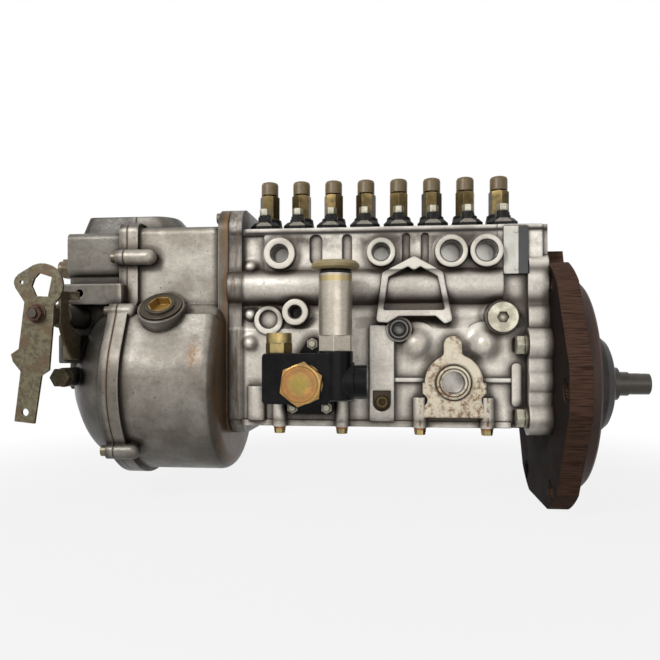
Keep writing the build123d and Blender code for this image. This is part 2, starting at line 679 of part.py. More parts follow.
with BuildPart() as bottom_cover_screws:
    with BuildSketch(Plane.XY.offset(COVER_FACE - COVER_WASHER - COVER_SCREW_HEAD)):
        with Locations(*COVER_SCREWS):
            RegularPolygon(5.0, 6, major_radius=False)
    extrude(amount=COVER_SCREW_HEAD)
    with BuildSketch(Plane.XY.offset(COVER_FACE - COVER_WASHER)):
        with Locations(*COVER_SCREWS):
            Circle(COVER_SCREW_RADIUS)
    extrude(amount=COVER_WASHER + COVER_SCREW_LENGTH - 2)
    with BuildSketch(Plane.XY.offset(COVER_FACE - COVER_WASHER - COVER_SCREW_HEAD)):
        with Locations(*COVER_SCREWS):
            Rectangle(14.0, 1.6)
    extrude(amount=2.2, mode=Mode.SUBTRACT)
finish(bottom_cover_screws, "bottom_cover_screws")

# ------------------------------------------------------------------ mounting flange, pilot ring and nose
with BuildPart() as mounting_flange:
    # hexagon with corners at the front and rear, trimmed to a circle, with a lug on top
    with BuildSketch(end_plane(-FLANGE_THICKNESS)) as flange_outline:
        RegularPolygon(PLATE_APOTHEM, 6, major_radius=False)
        Circle(PLATE_CORNER_RADIUS, mode=Mode.INTERSECT)
        with Locations((0, PLATE_APOTHEM)):
            Trapezoid(66.0, 28.0, 70.0)
        Circle(PLATE_BORE_RADIUS, mode=Mode.SUBTRACT)
        with PolarLocations(PLATE_BOLT_CIRCLE / 2, 6):
            Circle(PLATE_HOLE_RADIUS, mode=Mode.SUBTRACT)
    extrude(amount=FLANGE_THICKNESS)
    with BuildSketch(end_plane(-FLANGE_THICKNESS)):
        with PolarLocations(PLATE_BOLT_CIRCLE / 2, 6):
            Circle(PLATE_HOLE_RADIUS + 4.0)
    extrude(amount=1.2, mode=Mode.SUBTRACT)
    with BuildSketch(end_plane(-FLANGE_THICKNESS)):
        with Locations(*END_BOLTS):
            Circle(END_BOLT_RADIUS + RUNNING_FIT)
    extrude(amount=END_BOLT_REACH + 1, mode=Mode.SUBTRACT)
finish(mounting_flange, "mounting_flange")

with BuildPart() as pilot_ring:
    # turned ring with a groove near its engine side
    turned(
        along_shaft(0),
        [
            (NOSE_RADIUS + RUNNING_FIT, 0),
            (RING_RADIUS - 2, 0),
            (RING_RADIUS - 2, 2.5),
            (RING_RADIUS, 2.5),
            (RING_RADIUS, RING_THICKNESS - 2),
            (RING_RADIUS - 2, RING_THICKNESS),
            (NOSE_RADIUS + RUNNING_FIT, RING_THICKNESS),
        ],
    )
finish(pilot_ring, "pilot_ring")

with BuildPart() as bearing_plate:
    # domed nose outside, spigot through the flange inside, stepped bore for bearing and seal
    turned(
        along_shaft(0),
        [
            (BEARING_RADIUS + RUNNING_FIT, -FLANGE_THICKNESS - SPIGOT_LENGTH),
            (PLATE_BORE_RADIUS - RUNNING_FIT, -FLANGE_THICKNESS - SPIGOT_LENGTH),
            (PLATE_BORE_RADIUS - RUNNING_FIT, 0),
            (NOSE_RADIUS, 0),
            (NOSE_RADIUS, NOSE_END - 16),
            (NOSE_RADIUS - 2, NOSE_END - 9),
            (NOSE_RADIUS - 8, NOSE_END - 2),
            (NOSE_RADIUS - 12, NOSE_END),
            (COLLAR_RADIUS + 7, NOSE_END),
            (COLLAR_RADIUS + 7, NOSE_END - 10),
            (SHAFT_RADIUS + 1, NOSE_END - 10),
            (SHAFT_RADIUS + 1, BEARING_WIDTH - FLANGE_THICKNESS - SPIGOT_LENGTH),
            (BEARING_RADIUS + RUNNING_FIT, BEARING_WIDTH - FLANGE_THICKNESS - SPIGOT_LENGTH),
        ],
    )
finish(bearing_plate, "bearing_plate")

with BuildPart() as shaft_seal:
    turned(
        along_shaft(NOSE_END - 10),
        [
            (SHAFT_RADIUS + 0.1, 0),
            (COLLAR_RADIUS + 7 - RUNNING_FIT, 0),
            (COLLAR_RADIUS + 7 - RUNNING_FIT, 8),
            (SHAFT_RADIUS + 4, 8),
            (SHAFT_RADIUS + 2, 4),
            (SHAFT_RADIUS + 0.1, 4),
        ],
    )
finish(shaft_seal, "shaft_seal")

with BuildPart() as camshaft_bearings:
    # one bearing in the bearing plate and one in the governor end of the housing
    for bearing_start in (HOUSING_END - SPIGOT_LENGTH, HOUSING_START):
        turned(
            along_shaft(bearing_start),
            [
                (SHAFT_RADIUS + RUNNING_FIT, 0),
                (SHAFT_RADIUS + 5, 0),
                (SHAFT_RADIUS + 5, 2),
                (BEARING_RADIUS - 5, 2),
                (BEARING_RADIUS - 5, 0),
                (BEARING_RADIUS - RUNNING_FIT, 0),
                (BEARING_RADIUS - RUNNING_FIT, BEARING_WIDTH),
                (SHAFT_RADIUS + RUNNING_FIT, BEARING_WIDTH),
            ],
        )
finish(camshaft_bearings, "camshaft_bearings")

with BuildPart() as flange_bolt_washers:
    with BuildSketch(end_plane(HEAD_FACE)):
        with Locations(*END_BOLTS):
            Circle(END_BOLT_FLATS / 2 + 1.5)
        with Locations(*END_BOLTS):
            Circle(END_BOLT_RADIUS + RUNNING_FIT, mode=Mode.SUBTRACT)
    extrude(amount=-SPRING_WASHER)
finish(flange_bolt_washers, "flange_bolt_washers")

with BuildPart() as flange_bolts:
    with BuildSketch(end_plane(HEAD_FACE - SPRING_WASHER)):
        with Locations(*END_BOLTS):
            RegularPolygon(END_BOLT_FLATS / 2, 6, major_radius=False)
    extrude(amount=-END_BOLT_HEAD)
    with BuildSketch(end_plane(HEAD_FACE - SPRING_WASHER)):
        with Locations(*END_BOLTS):
            Circle(END_BOLT_RADIUS)
    extrude(amount=SPRING_WASHER + END_FLANGE_THICKNESS + END_BOLT_REACH)
finish(flange_bolts, "flange_bolts")

# ------------------------------------------------------------------ pumping elements
BARREL_TOP = HOUSING_TOP + 8.0
VALVE_TOP = BARREL_TOP + 15.0
HOLDER_FOOT = BARREL_TOP
HEX_START = BUSH_TOP + 1.0
HEX_END = HEX_START + HOLDER_HEX_HEIGHT
HOLDER_TOP = CAP_BASE + CAP_HEIGHT - 4.0

with BuildPart() as flange_bush:
    # thin seat, thick slab and ears that taper up to the nuts
    block(level_plane(0, 0, HOUSING_TOP), BUSH_WIDTH + 2, BUSH_LENGTH + 2, 2.0, 5.0)
    with BuildSketch(level_plane(0, 0, HOUSING_TOP + 2)) as slab:
        Rectangle(BUSH_WIDTH, BUSH_LENGTH)
        chamfer(slab.vertices(), BUSH_CORNER)
    extrude(amount=BUSH_SLAB - 2)
    slab_rim = flange_bush.faces().sort_by(Axis.Z)[-1].edges()
    flanks = slab_rim.filter_by(lambda e: abs(e.center().X) > BUSH_WIDTH / 4)
    chamfer(flanks, BUSH_FLANK)
    slab_top = HOUSING_TOP + BUSH_SLAB
    cone_foot = slab_top - BUSH_FLANK / 2
    with Locations((0, 0, (cone_foot + BUSH_TOP) / 2)):
        Cone(BUSH_WIDTH / 2 - 1.5, BARREL_NECK + 1.5, BUSH_TOP - cone_foot)
    for side in (-1, 1):
        lug_y = side * STUD_HALF_SPAN
        block(level_plane(0, lug_y, slab_top), 13.0, 11.0, LUG_HEIGHT, 1.5)
        block(level_plane(0, lug_y / 2, slab_top), 10.0, STUD_HALF_SPAN, LUG_HEIGHT)
        round_bar(level_plane(0, lug_y, slab_top), NUT_FLATS / 2 + 1.2, BUSH_TOP - slab_top)
    bore(level_plane(0, 0, HOUSING_TOP), BARREL_NECK, BUSH_HEIGHT)
    for side in (-1, 1):
        stud_hole = level_plane(0, side * STUD_HALF_SPAN, HOUSING_TOP)
        bore(stud_hole, STUD_RADIUS, BUSH_HEIGHT)
finish_row(flange_bush, "flange_bushes")

with BuildPart() as bush_stud_pair:
    for side in (-1, 1):
        stud_plane = level_plane(0, side * STUD_HALF_SPAN, HOUSING_TOP - BUSH_STUD_DEPTH + 1)
        round_bar(stud_plane, STUD_RADIUS, BUSH_STUD_DEPTH + BUSH_HEIGHT + NUT_HEIGHT)
finish_row(bush_stud_pair, "bush_studs")

with BuildPart() as bush_nut_pair:
    for side in (-1, 1):
        hex_bar(level_plane(0, side * STUD_HALF_SPAN, BUSH_TOP), NUT_FLATS, NUT_HEIGHT)
        bore(
            level_plane(0, side * STUD_HALF_SPAN, BUSH_TOP), STUD_RADIUS, NUT_HEIGHT
        )
finish_row(bush_nut_pair, "bush_nuts")

with BuildPart() as valve_holder:
    round_bar(level_plane(0, 0, HOLDER_FOOT), BARREL_NECK, HEX_START - HOLDER_FOOT)
    hex_bar(level_plane(0, 0, HEX_START), HOLDER_FLATS, HOLDER_HEX_HEIGHT)
    hex_chamfer(upright(0, 0, HEX_START), HOLDER_FLATS, HOLDER_HEX_HEIGHT)
    round_bar(level_plane(0, 0, HEX_END), HOLDER_NECK_RADIUS, HOLDER_TOP - HEX_END)
    round_bar(level_plane(0, 0, HOLDER_FOOT), 7.0, VALVE_TOP - HOLDER_FOOT + 1, mode=Mode.SUBTRACT)
    round_bar(level_plane(0, 0, HOLDER_FOOT), 2.0, HOLDER_TOP - HOLDER_FOOT, mode=Mode.SUBTRACT)
finish_row(valve_holder, "delivery_valve_holders", HOLDER_TURN)

with BuildPart() as outlet_cap:
    turned(
        upright(0, 0, CAP_BASE),
        [
            (HOLDER_NECK_RADIUS + RUNNING_FIT, 0),
            (CAP_RADIUS, 0),
            (CAP_RADIUS, CAP_HEIGHT - 3),
            (CAP_RADIUS - 0.9, CAP_HEIGHT - 0.9),
            (CAP_RADIUS - 3, CAP_HEIGHT),
            (0, CAP_HEIGHT),
            (0, CAP_HEIGHT - 3),
            (HOLDER_NECK_RADIUS + RUNNING_FIT, CAP_HEIGHT - 3),
        ],
    )
finish_row(outlet_cap, "outlet_caps")

with BuildPart() as barrel:
    round_bar(level_plane(0, 0, BARREL_FOOT), BARREL_RADIUS - RUNNING_FIT, HOUSING_TOP - BARREL_FOOT)
    round_bar(level_plane(0, 0, HOUSING_TOP), BARREL_NECK, BARREL_TOP - HOUSING_TOP)
    bore(
        level_plane(0, 0, BARREL_FOOT), PLUNGER_RADIUS, BARREL_TOP - BARREL_FOOT - 6
    )
    round_bar(level_plane(0, 0, BARREL_FOOT), 2.0, BARREL_TOP - BARREL_FOOT, mode=Mode.SUBTRACT)
finish_row(barrel, "barrels")

with BuildPart() as delivery_valve:
    round_bar(level_plane(0, 0, BARREL_TOP), 6.9, 8.0)
    round_bar(level_plane(0, 0, BARREL_TOP + 8), 4.0, 7.0)
finish_row(delivery_valve, "delivery_valves")

PLUNGER_FOOT = ROLLER_HEIGHT + TAPPET_HEIGHT
with BuildPart() as plunger:
    round_bar(level_plane(0, 0, PLUNGER_FOOT), 9.0, 3.0)
    round_bar(level_plane(0, 0, PLUNGER_FOOT), PLUNGER_RADIUS, BARREL_TOP - 7 - PLUNGER_FOOT)
finish_row(plunger, "plungers")

with BuildPart() as plunger_spring:
    round_bar(level_plane(0, 0, PLUNGER_FOOT), 13.0, SHOULDER_HEIGHT - PLUNGER_FOOT)
    round_bar(level_plane(0, 0, PLUNGER_FOOT), 10.0, SHOULDER_HEIGHT - PLUNGER_FOOT, mode=Mode.SUBTRACT)
finish_row(plunger_spring, "plunger_springs")

with BuildPart() as tappet:
    round_bar(level_plane(0, 0, ROLLER_HEIGHT - 4), TAPPET_RADIUS, TAPPET_HEIGHT + 4)
    block(
        level_plane(0, 0, ROLLER_HEIGHT - 4),
        ROLLER_WIDTH + 2 * SEAT_GAP,
        2 * TAPPET_RADIUS,
        ROLLER_RADIUS + 4 + SEAT_GAP,
        mode=Mode.SUBTRACT,
    )
    round_bar(cross_plane(-TAPPET_RADIUS, 0, ROLLER_HEIGHT), 3.5, 2 * TAPPET_RADIUS, mode=Mode.SUBTRACT)
finish_row(tappet, "tappets")

with BuildPart() as tappet_roller:
    round_bar(cross_plane(-ROLLER_WIDTH / 2, 0, ROLLER_HEIGHT), ROLLER_RADIUS, ROLLER_WIDTH)
    round_bar(cross_plane(2 - TAPPET_RADIUS, 0, ROLLER_HEIGHT), 3.5 - RUNNING_FIT, 2 * TAPPET_RADIUS - 4)
finish_row(tappet_roller, "tappet_rollers")

# ------------------------------------------------------------------ camshaft
CARRIER_SEAT = HOUSING_START - GOVERNOR_RIM - 8.0
SHAFT_TAIL = CARRIER_SEAT - 20.0
TAIL_RADIUS = 10.0
CAM_PHASES = (0, 225, 90, 315, 135, 270, 45, 180)

with BuildPart() as camshaft:
    round_bar(end_plane(HOUSING_START), SHAFT_RADIUS, NOSE_END - HOUSING_START)
    round_bar(end_plane(SHAFT_TAIL), TAIL_RADIUS, HOUSING_START - SHAFT_TAIL)
    for i in range(ELEMENT_COUNT):
        turn = radians(CAM_PHASES[i % len(CAM_PHASES)])
        nose_offset = CAM_REACH - CAM_NOSE_RADIUS
        with BuildSketch(end_plane(ELEMENTS[i] - CAM_WIDTH / 2)) as cam:
            Circle(CAM_BASE_RADIUS)
            with Locations((nose_offset * sin(turn), nose_offset * cos(turn))):
                Circle(CAM_NOSE_RADIUS)
            make_hull()
        extrude(amount=CAM_WIDTH)
    with BuildSketch(end_plane(FEED_AXIS - FEED_CAM_WIDTH / 2)):
        with Locations((FEED_CAM_THROW, 0)):
            Circle(FEED_CAM_RADIUS)
    extrude(amount=FEED_CAM_WIDTH)
    # drive end: collar, plain nose and the keyway that is open at its tip
    round_bar(end_plane(NOSE_END), COLLAR_RADIUS, COLLAR_LENGTH)
    round_bar(end_plane(SHANK_START), SHANK_RADIUS, SHANK_LENGTH)
    round_bar(end_plane(DRIVE_START), DRIVE_RADIUS, DRIVE_LENGTH)
    block(
        level_plane(DRIVE_START + DRIVE_LENGTH - KEYWAY_LENGTH / 2, 0, DRIVE_RADIUS - KEYWAY_DEPTH),
        KEYWAY_LENGTH,
        KEYWAY_WIDTH,
        KEYWAY_DEPTH + 1,
        mode=Mode.SUBTRACT,
    )
finish(camshaft, "camshaft")

# ------------------------------------------------------------------ control rack and sleeves
with BuildPart() as control_rack:
    block(
        cross_plane(RACK_START, -RACK_DEPTH, RACK_HEIGHT),
        RACK_WIDTH,
        RACK_BAR_HEIGHT,
        RACK_END - RACK_START,
    )
    for x in ELEMENTS:
        block(
            level_plane(x, -RACK_DEPTH + RACK_WIDTH / 2 - 4.0, RACK_HEIGHT - RACK_BAR_HEIGHT / 2),
            2 * (SLEEVE_BALL + SLOT_GAP),
            8.5,
            RACK_BAR_HEIGHT,
            mode=Mode.SUBTRACT,
        )
    block(
        level_plane(FULCRUM, -RACK_DEPTH, RACK_HEIGHT - FULCRUM_PIN - SLOT_GAP),
        2 * (FULCRUM_PIN + SLOT_GAP),
        RACK_WIDTH,
        RACK_BAR_HEIGHT,
        mode=Mode.SUBTRACT,
    )
finish(control_rack, "control_rack")

for number, x in enumerate(ELEMENTS, start=1):
    with BuildPart() as control_sleeve:
        foot = SHOULDER_HEIGHT + SHOULDER_THICKNESS + SEAT_GAP
        round_bar(level_plane(x, 0, foot), SLEEVE_RADIUS, SLEEVE_HEIGHT)
        block(level_plane(x, -SLEEVE_ARM / 2, RACK_HEIGHT - 2.0), 3.6, SLEEVE_ARM, 4.0)
        with Locations((x, -SLEEVE_ARM, RACK_HEIGHT)):
            Sphere(SLEEVE_BALL)
        bore(level_plane(x, 0, foot), PLUNGER_RADIUS, SLEEVE_HEIGHT)
    finish(control_sleeve, "control_sleeve_" + str(number))


# ------------------------------------------------------------------ governor housing and cover
def case_outline(grow=0.0):
    """Governor section in Y and Z: a drum round the camshaft, its two shoulders and a box on top."""
    Circle(DRUM_RADIUS + grow)
    reach = DRUM_RADIUS + grow
    slope = radians(SHOULDER_SLOPE)
    foot = (reach * cos(slope), reach * sin(slope))
    corner = (foot[0] - (SHOULDER_TOP + grow - foot[1]) * tan(slope), SHOULDER_TOP + grow)
    for side in (-1, 1):
        points = [(0, foot[1]), foot, corner, (0, corner[1])]
        Polygon(*[(side * y, z) for y, z in points], align=None)
    with Locations((0, (BOX_TOP + grow) / 2)):
        RectangleRounded(2 * (BOX_HALF_WIDTH + grow), BOX_TOP + grow, 8.0 + grow / 2)
    with Locations((0, (BOX_TOP + grow) / 4)):
        Rectangle(2 * (BOX_HALF_WIDTH + grow), (BOX_TOP + grow) / 2)


def case_block(x, length, grow, notch=0.0, mode=Mode.ADD):
    """Length of the governor section, with its inner corners rounded where the box meets the drum."""
    with BuildSketch(end_plane(x)) as section:
        case_outline(grow)
        if notch:
            shoulders = section.vertices().filter_by(lambda v: SHOULDER_TOP - 5 < v.Z < DRUM_RADIUS + grow)
            fillet(shoulders, notch)
    extrude(section.sketch, amount=length, mode=mode)


FILLER_X = HOUSING_START - FILLER_FROM_JOINT
FILLER_Y = -72.0
FILLER_Z = 78.0
TILT = radians(FILLER_TILT)
FILLER_PLANE = Plane(
    origin=(FILLER_X, FILLER_Y, FILLER_Z), x_dir=(1, 0, 0), z_dir=(0, -cos(TILT), sin(TILT))
)
CAP_THREAD = FILLER_RADIUS - 6.0
COVER_END = PARTING - COVER_BOX_LENGTH - 6.0
PIVOT_Z = LEVER_PIVOT_HEIGHT
SHAFT_BORE = LEVER_SHAFT_RADIUS + RUNNING_FIT


def hump(side, foot_reach, top_reach, corner):
    """Raised hump on one side of the parting plane, rounded and sloped at its free end."""
    sections = []
    for height, reach, shrink in ((BOX_TOP - 14, foot_reach, 0.0), (HUMP_TOP, top_reach, 8.0)):
        with BuildSketch(level_plane(PARTING, 0, height)) as hump_outline:
            with Locations((side * reach / 2, 0)):
                Rectangle(reach, 2 * (HUMP_HALF_WIDTH - shrink))
            fillet(hump_outline.vertices().group_by(Axis.X)[-1 if side > 0 else 0], corner - shrink / 2)
        sections.append(hump_outline.sketch.face())
    loft(sections)


with BuildPart() as governor_housing:
    case_block(PARTING, HOUSING_START - 3 - PARTING, 0.0, 12.0)
    fillet(governor_housing.faces().sort_by(Axis.X)[-1].edges(), END_ROUND)
    case_block(PARTING, PARTING_RIM, RIM_STEP, 12.0)
    with BuildSketch(end_plane(HOUSING_START - GOVERNOR_RIM)):
        joint_outline()
    extrude(amount=GOVERNOR_RIM)
    hump(1, HUMP_REACH, HUMP_REACH - HUMP_SLOPE, 24.0)
    # tilted filler boss
    round_bar(FILLER_PLANE, FILLER_RADIUS + 2.5, -40.0)
    # screw bosses that run back from the parting rim
    for y, z, boss_length in CASE_SCREWS:
        round_bar(cross_plane(PARTING, y, z), CASE_BOSS_RADIUS, boss_length)
        with Locations((PARTING + boss_length, y, z)):
            Sphere(CASE_BOSS_RADIUS)
    # hollow inside, openings to the pump housing, filler bore and screw holes
    with BuildSketch(end_plane(PARTING)):
        Circle(DRUM_RADIUS - WALL)
        with Locations((0, BOX_TOP / 2)):
            Rectangle(2 * (BOX_HALF_WIDTH - WALL), BOX_TOP - 2 * WALL)
    extrude(amount=HOUSING_START - GOVERNOR_RIM - PARTING, mode=Mode.SUBTRACT)
    round_bar(end_plane(HOUSING_START - GOVERNOR_RIM), BEARING_RADIUS - 5, GOVERNOR_RIM, mode=Mode.SUBTRACT)
    block(
        cross_plane(HOUSING_START - GOVERNOR_RIM, -RACK_DEPTH, RACK_HEIGHT),
        RACK_WIDTH + 2.0,
        RACK_BAR_HEIGHT + 2.0,
        GOVERNOR_RIM,
        mode=Mode.SUBTRACT,
    )
    bore(FILLER_PLANE, CAP_THREAD, -60.0)
    bore(FILLER_PLANE.offset(-2.0), FILLER_RADIUS, 16.0)
    for y, z, boss_length in CASE_SCREWS:
        bore(cross_plane(PARTING, y, z), CASE_SCREW_RADIUS, CASE_SCREW_DEPTH)
    for y, z in JOINT_SCREWS:
        screw_plane = cross_plane(HOUSING_START, y, z)
        bore(screw_plane, CASE_SCREW_RADIUS, -GOVERNOR_RIM)
        round_bar(screw_plane.offset(-GOVERNOR_RIM), 6.3, -9.0, mode=Mode.SUBTRACT)
finish(governor_housing, "governor_housing")

DOME_START = PARTING - COVER_RIM
with BuildPart() as governor_cover:
    case_block(DOME_START, COVER_RIM, RIM_STEP, 12.0)
    # lower dome, turned about the camshaft axis
    with BuildSketch(along_shaft(DOME_START)) as dome:
        with BuildLine():
            Line((0, 0), (DRUM_RADIUS - 1, 0))
            Spline(
                (DRUM_RADIUS - 1, 0),
                (DOME_RADIUS, -16.0),
                (DOME_RADIUS - 11, -31.0),
                (DOME_RADIUS - 25, -42.0),
                (DOME_END_RADIUS, -DOME_DEPTH),
            )
            Line((DOME_END_RADIUS, -DOME_DEPTH), (0, -DOME_DEPTH))
            Line((0, -DOME_DEPTH), (0, 0))
        make_face()
    revolve(axis=Axis((DOME_START, 0, 0), (1, 0, 0)))
    # upper box, its waist and the lug block between them
    block(
        cross_plane(COVER_END, 0, (COVER_BOX_FLOOR + COVER_BOX_TOP) / 2),
        2 * BOX_HALF_WIDTH,
        COVER_BOX_TOP - COVER_BOX_FLOOR,
        PARTING - COVER_END,
        7.0,
    )
    block(
        cross_plane(COVER_END, 0, 58.0),
        2 * (BOX_HALF_WIDTH - 6),
        130.0,
        PARTING - COVER_END,
        5.0,
    )
    block(front_plane((COVER_END + PARTING) / 2, 92.5, 30.0), PARTING - COVER_END - 2, 21.0, 32.0, 2.0)
    block(front_plane(COVER_END + 15.0, 36.0, 30.0), 22.0, 29.0, 40.0, 2.0)
    hump(-1, COVER_BOX_LENGTH + 4, COVER_BOX_LENGTH - 6, 12.0)
    # shaft boss, stop screw boss and screw bosses on the rim
    round_bar(front_plane(LEVER_PIVOT, PIVOT_Z, 30.0), 12.0, LEVER_BOSS_FACE - 30.0)
    round_bar(front_plane(LEVER_PIVOT + 8.0, 8.0, 30.0), 9.5, 62.0)
    for y, z, boss_length in CASE_SCREWS:
        round_bar(cross_plane(DOME_START, y, z), CASE_BOSS_RADIUS, COVER_RIM)
    # hollow inside
    with BuildSketch(along_shaft(DOME_START)) as dome_hollow:
        with BuildLine():
            Polyline(
                (0, COVER_RIM),
                (DRUM_RADIUS - WALL, COVER_RIM),
                (DRUM_RADIUS - WALL, 0),
                (DOME_RADIUS - 7, -14.0),
                (DOME_RADIUS - 18, -28.0),
                (DOME_RADIUS - 34, -39.0),
                (DOME_END_RADIUS - 8, WALL - DOME_DEPTH),
                (0, WALL - DOME_DEPTH),
                close=True,
            )
        make_face()
    revolve(axis=Axis((DOME_START, 0, 0), (1, 0, 0)), mode=Mode.SUBTRACT)
    block(
        cross_plane(COVER_END + WALL, 0, (COVER_BOX_TOP - WALL) / 2),
        2 * (BOX_HALF_WIDTH - 6 - WALL),
        COVER_BOX_TOP - WALL,
        PARTING - COVER_END - WALL,
        mode=Mode.SUBTRACT,
    )
    round_bar(front_plane(LEVER_PIVOT, PIVOT_Z, 20.0), SHAFT_BORE, LEVER_BOSS_FACE - 20.0, mode=Mode.SUBTRACT)
    round_bar(front_plane(COVER_END + 22.0, 93.5, 62.0), 4.0, -14.0, mode=Mode.SUBTRACT)
    for y, z, boss_length in CASE_SCREWS:
        screw_plane = cross_plane(DOME_START, y, z)
        bore(screw_plane, CASE_SCREW_RADIUS, COVER_RIM)
finish(governor_cover, "governor_cover")

with BuildPart() as governor_screws:
    for y, z, boss_length in CASE_SCREWS:
        screw_plane = cross_plane(DOME_START, y, z)
        round_bar(screw_plane, 5.5, -CASE_SCREW_HEAD)
        round_bar(screw_plane, CASE_SCREW_RADIUS, COVER_RIM + CASE_SCREW_DEPTH - 2)
        hex_bar(screw_plane.offset(-CASE_SCREW_HEAD), 5.0, 3.0, mode=Mode.SUBTRACT)
    for y, z in JOINT_SCREWS:
        screw_plane = cross_plane(HOUSING_START - GOVERNOR_RIM, y, z)
        round_bar(screw_plane, 5.5, -5.0)
        round_bar(screw_plane, CASE_SCREW_RADIUS, GOVERNOR_RIM + 10.0)
        hex_bar(screw_plane.offset(-5.0), 5.0, 2.5, mode=Mode.SUBTRACT)
finish(governor_screws, "governor_screws")

with BuildPart() as filler_cap:
    # disc that closes the tilted boss, with a hexagon socket in a raised centre
    round_bar(FILLER_PLANE.offset(-2.0), FILLER_RADIUS, 4.0)
    round_bar(FILLER_PLANE.offset(-2.0), CAP_THREAD, -12.0)
    round_bar(FILLER_PLANE.offset(2.0), FILLER_SOCKET + 3, 2.0)
    hex_bar(FILLER_PLANE.offset(4.0), 2 * FILLER_SOCKET * 0.87, -8.0, mode=Mode.SUBTRACT)
finish(filler_cap, "filler_cap")

# ------------------------------------------------------------------ governor mechanism
CARRIER_LENGTH = 18.0
HUB_RADIUS = 20.0
STUD_FOOT = HUB_RADIUS - 1.0
CARRIER_CENTRE = CARRIER_SEAT - CARRIER_LENGTH / 2
WEIGHT_INNER = 26.0
WEIGHT_OUTER = 50.0
WEIGHT_TRAVEL = 8.0
WEIGHT_STUD = 4.0
POCKET_RADIUS = 11.0
POCKET_FLOOR = 34.0
SPRING_SEAT = 60.0

with BuildPart() as governor_carrier:
    round_bar(end_plane(CARRIER_SEAT - CARRIER_LENGTH), HUB_RADIUS, CARRIER_LENGTH)
    bore(end_plane(CARRIER_SEAT - CARRIER_LENGTH), TAIL_RADIUS, CARRIER_LENGTH)
    for way in (-1, 1):
        hub_side = Plane(origin=(CARRIER_CENTRE, 0, way * STUD_FOOT), x_dir=(1, 0, 0), z_dir=(0, 0, way))
        round_bar(hub_side, WEIGHT_STUD, SPRING_SEAT + 3 - STUD_FOOT)
        round_bar(hub_side.offset(SPRING_SEAT - STUD_FOOT), POCKET_RADIUS - 1, 5.0)
finish(governor_carrier, "governor_carrier")

for name, way in (("flyweight_upper", 1), ("flyweight_lower", -1)):
    with BuildPart() as flyweight:
        weight_origin = (CARRIER_CENTRE, 0, way * WEIGHT_INNER)
        weight_plane = Plane(origin=weight_origin, x_dir=(1, 0, 0), z_dir=(0, 0, way))
        block(weight_plane, 32.0, 50.0, WEIGHT_OUTER - WEIGHT_INNER, 8.0)
        bore(weight_plane, WEIGHT_STUD, WEIGHT_OUTER - WEIGHT_INNER)
        round_bar(
            weight_plane.offset(POCKET_FLOOR - WEIGHT_INNER),
            POCKET_RADIUS,
            WEIGHT_OUTER - POCKET_FLOOR,
            mode=Mode.SUBTRACT,
        )
    finish(flyweight, name)

with BuildPart() as governor_springs:
    for way in (-1, 1):
        start = POCKET_FLOOR + WEIGHT_TRAVEL + SEAT_GAP
        spring_plane = Plane(origin=(CARRIER_CENTRE, 0, way * start), x_dir=(1, 0, 0), z_dir=(0, 0, way))
        round_bar(spring_plane, POCKET_RADIUS - 1, SPRING_SEAT - start)
        round_bar(spring_plane, POCKET_RADIUS - 4, SPRING_SEAT - start, mode=Mode.SUBTRACT)
finish(governor_springs, "governor_springs")

BOLT_RADIUS = 8.0
BOLT_START = SHAFT_TAIL - 1.0
BOLT_END = FULCRUM - 18.0
with BuildPart() as governor_sleeve:
    round_bar(end_plane(BOLT_START), BOLT_RADIUS, BOLT_END - BOLT_START)
    round_bar(end_plane(BOLT_START), 14.0, -10.0)
finish(governor_sleeve, "governor_sleeve")

LINK_GAP = 0.5
with BuildPart() as fulcrum_lever:
    # slotted lever that straddles the sliding sleeve and ends in a pin through the rack
    block(front_plane(FULCRUM, 58.0, -4.0), 8.0, 94.0, 8.0, 3.0)
    block(front_plane(FULCRUM, 4.0, -13.0), 8.0, 24.0, 26.0, 3.0)
    block(
        front_plane(FULCRUM, 0.0, -BOLT_RADIUS - LINK_GAP),
        8.0,
        20.0 + 2 * LINK_GAP,
        2 * (BOLT_RADIUS + LINK_GAP),
        mode=Mode.SUBTRACT,
    )
    block(
        front_plane(FULCRUM, -8.0, -BOLT_RADIUS - LINK_GAP),
        8.0,
        12.0,
        2 * (BOLT_RADIUS + LINK_GAP),
        mode=Mode.SUBTRACT,
    )
    round_bar(front_plane(FULCRUM, RACK_HEIGHT, -4.0), FULCRUM_PIN, RACK_DEPTH + RACK_WIDTH / 2 + 4.0)
finish(fulcrum_lever, "fulcrum_lever")

# ------------------------------------------------------------------ control lever
LEVER_BACK = LEVER_FACE - LEVER_THICKNESS
NUT_SEAT = LEVER_FACE
with BuildPart() as control_lever:
    with BuildSketch(front_plane(LEVER_PIVOT, PIVOT_Z, LEVER_BACK)) as lever_outline:
        with BuildLine():
            Polyline(
                (17, 11),
                (11.5, -53),
                (4, -58),
                (-3, -LEVER_ARM_LENGTH),
                (-22.5, 2 - LEVER_ARM_LENGTH),
                (-16.4, -54),
                (-24, -45),
                (-26, -38),
                (-18.3, -33),
                (-12.6, 11),
                (-22, 25),
                (-19, 37),
                (-4, 45.5),
                (4.5, 47),
                (25, 28),
                close=True,
            )
        make_face()
        with Locations((4.5, 26.5)):
            Circle(LEVER_HEAD_RADIUS)
        with Locations((-15.5, 29.6)):
            Circle(7.5)
        Circle(LEVER_SHAFT_RADIUS - 1, mode=Mode.SUBTRACT)
        with Locations((-15.5, 29.6)):
            Circle(2.0, mode=Mode.SUBTRACT)
        with Locations((-12.0, 10.5 - LEVER_ARM_LENGTH)):
            Circle(3.6, mode=Mode.SUBTRACT)
        with BuildLine():
            Polyline((-5.6, 26), (-3, 33), (1.9, 38), (14.5, 34), (10.7, 16), (-1.2, 16.5), close=True)
        make_face(mode=Mode.SUBTRACT)
    extrude(amount=LEVER_THICKNESS)
finish(control_lever, "control_lever")

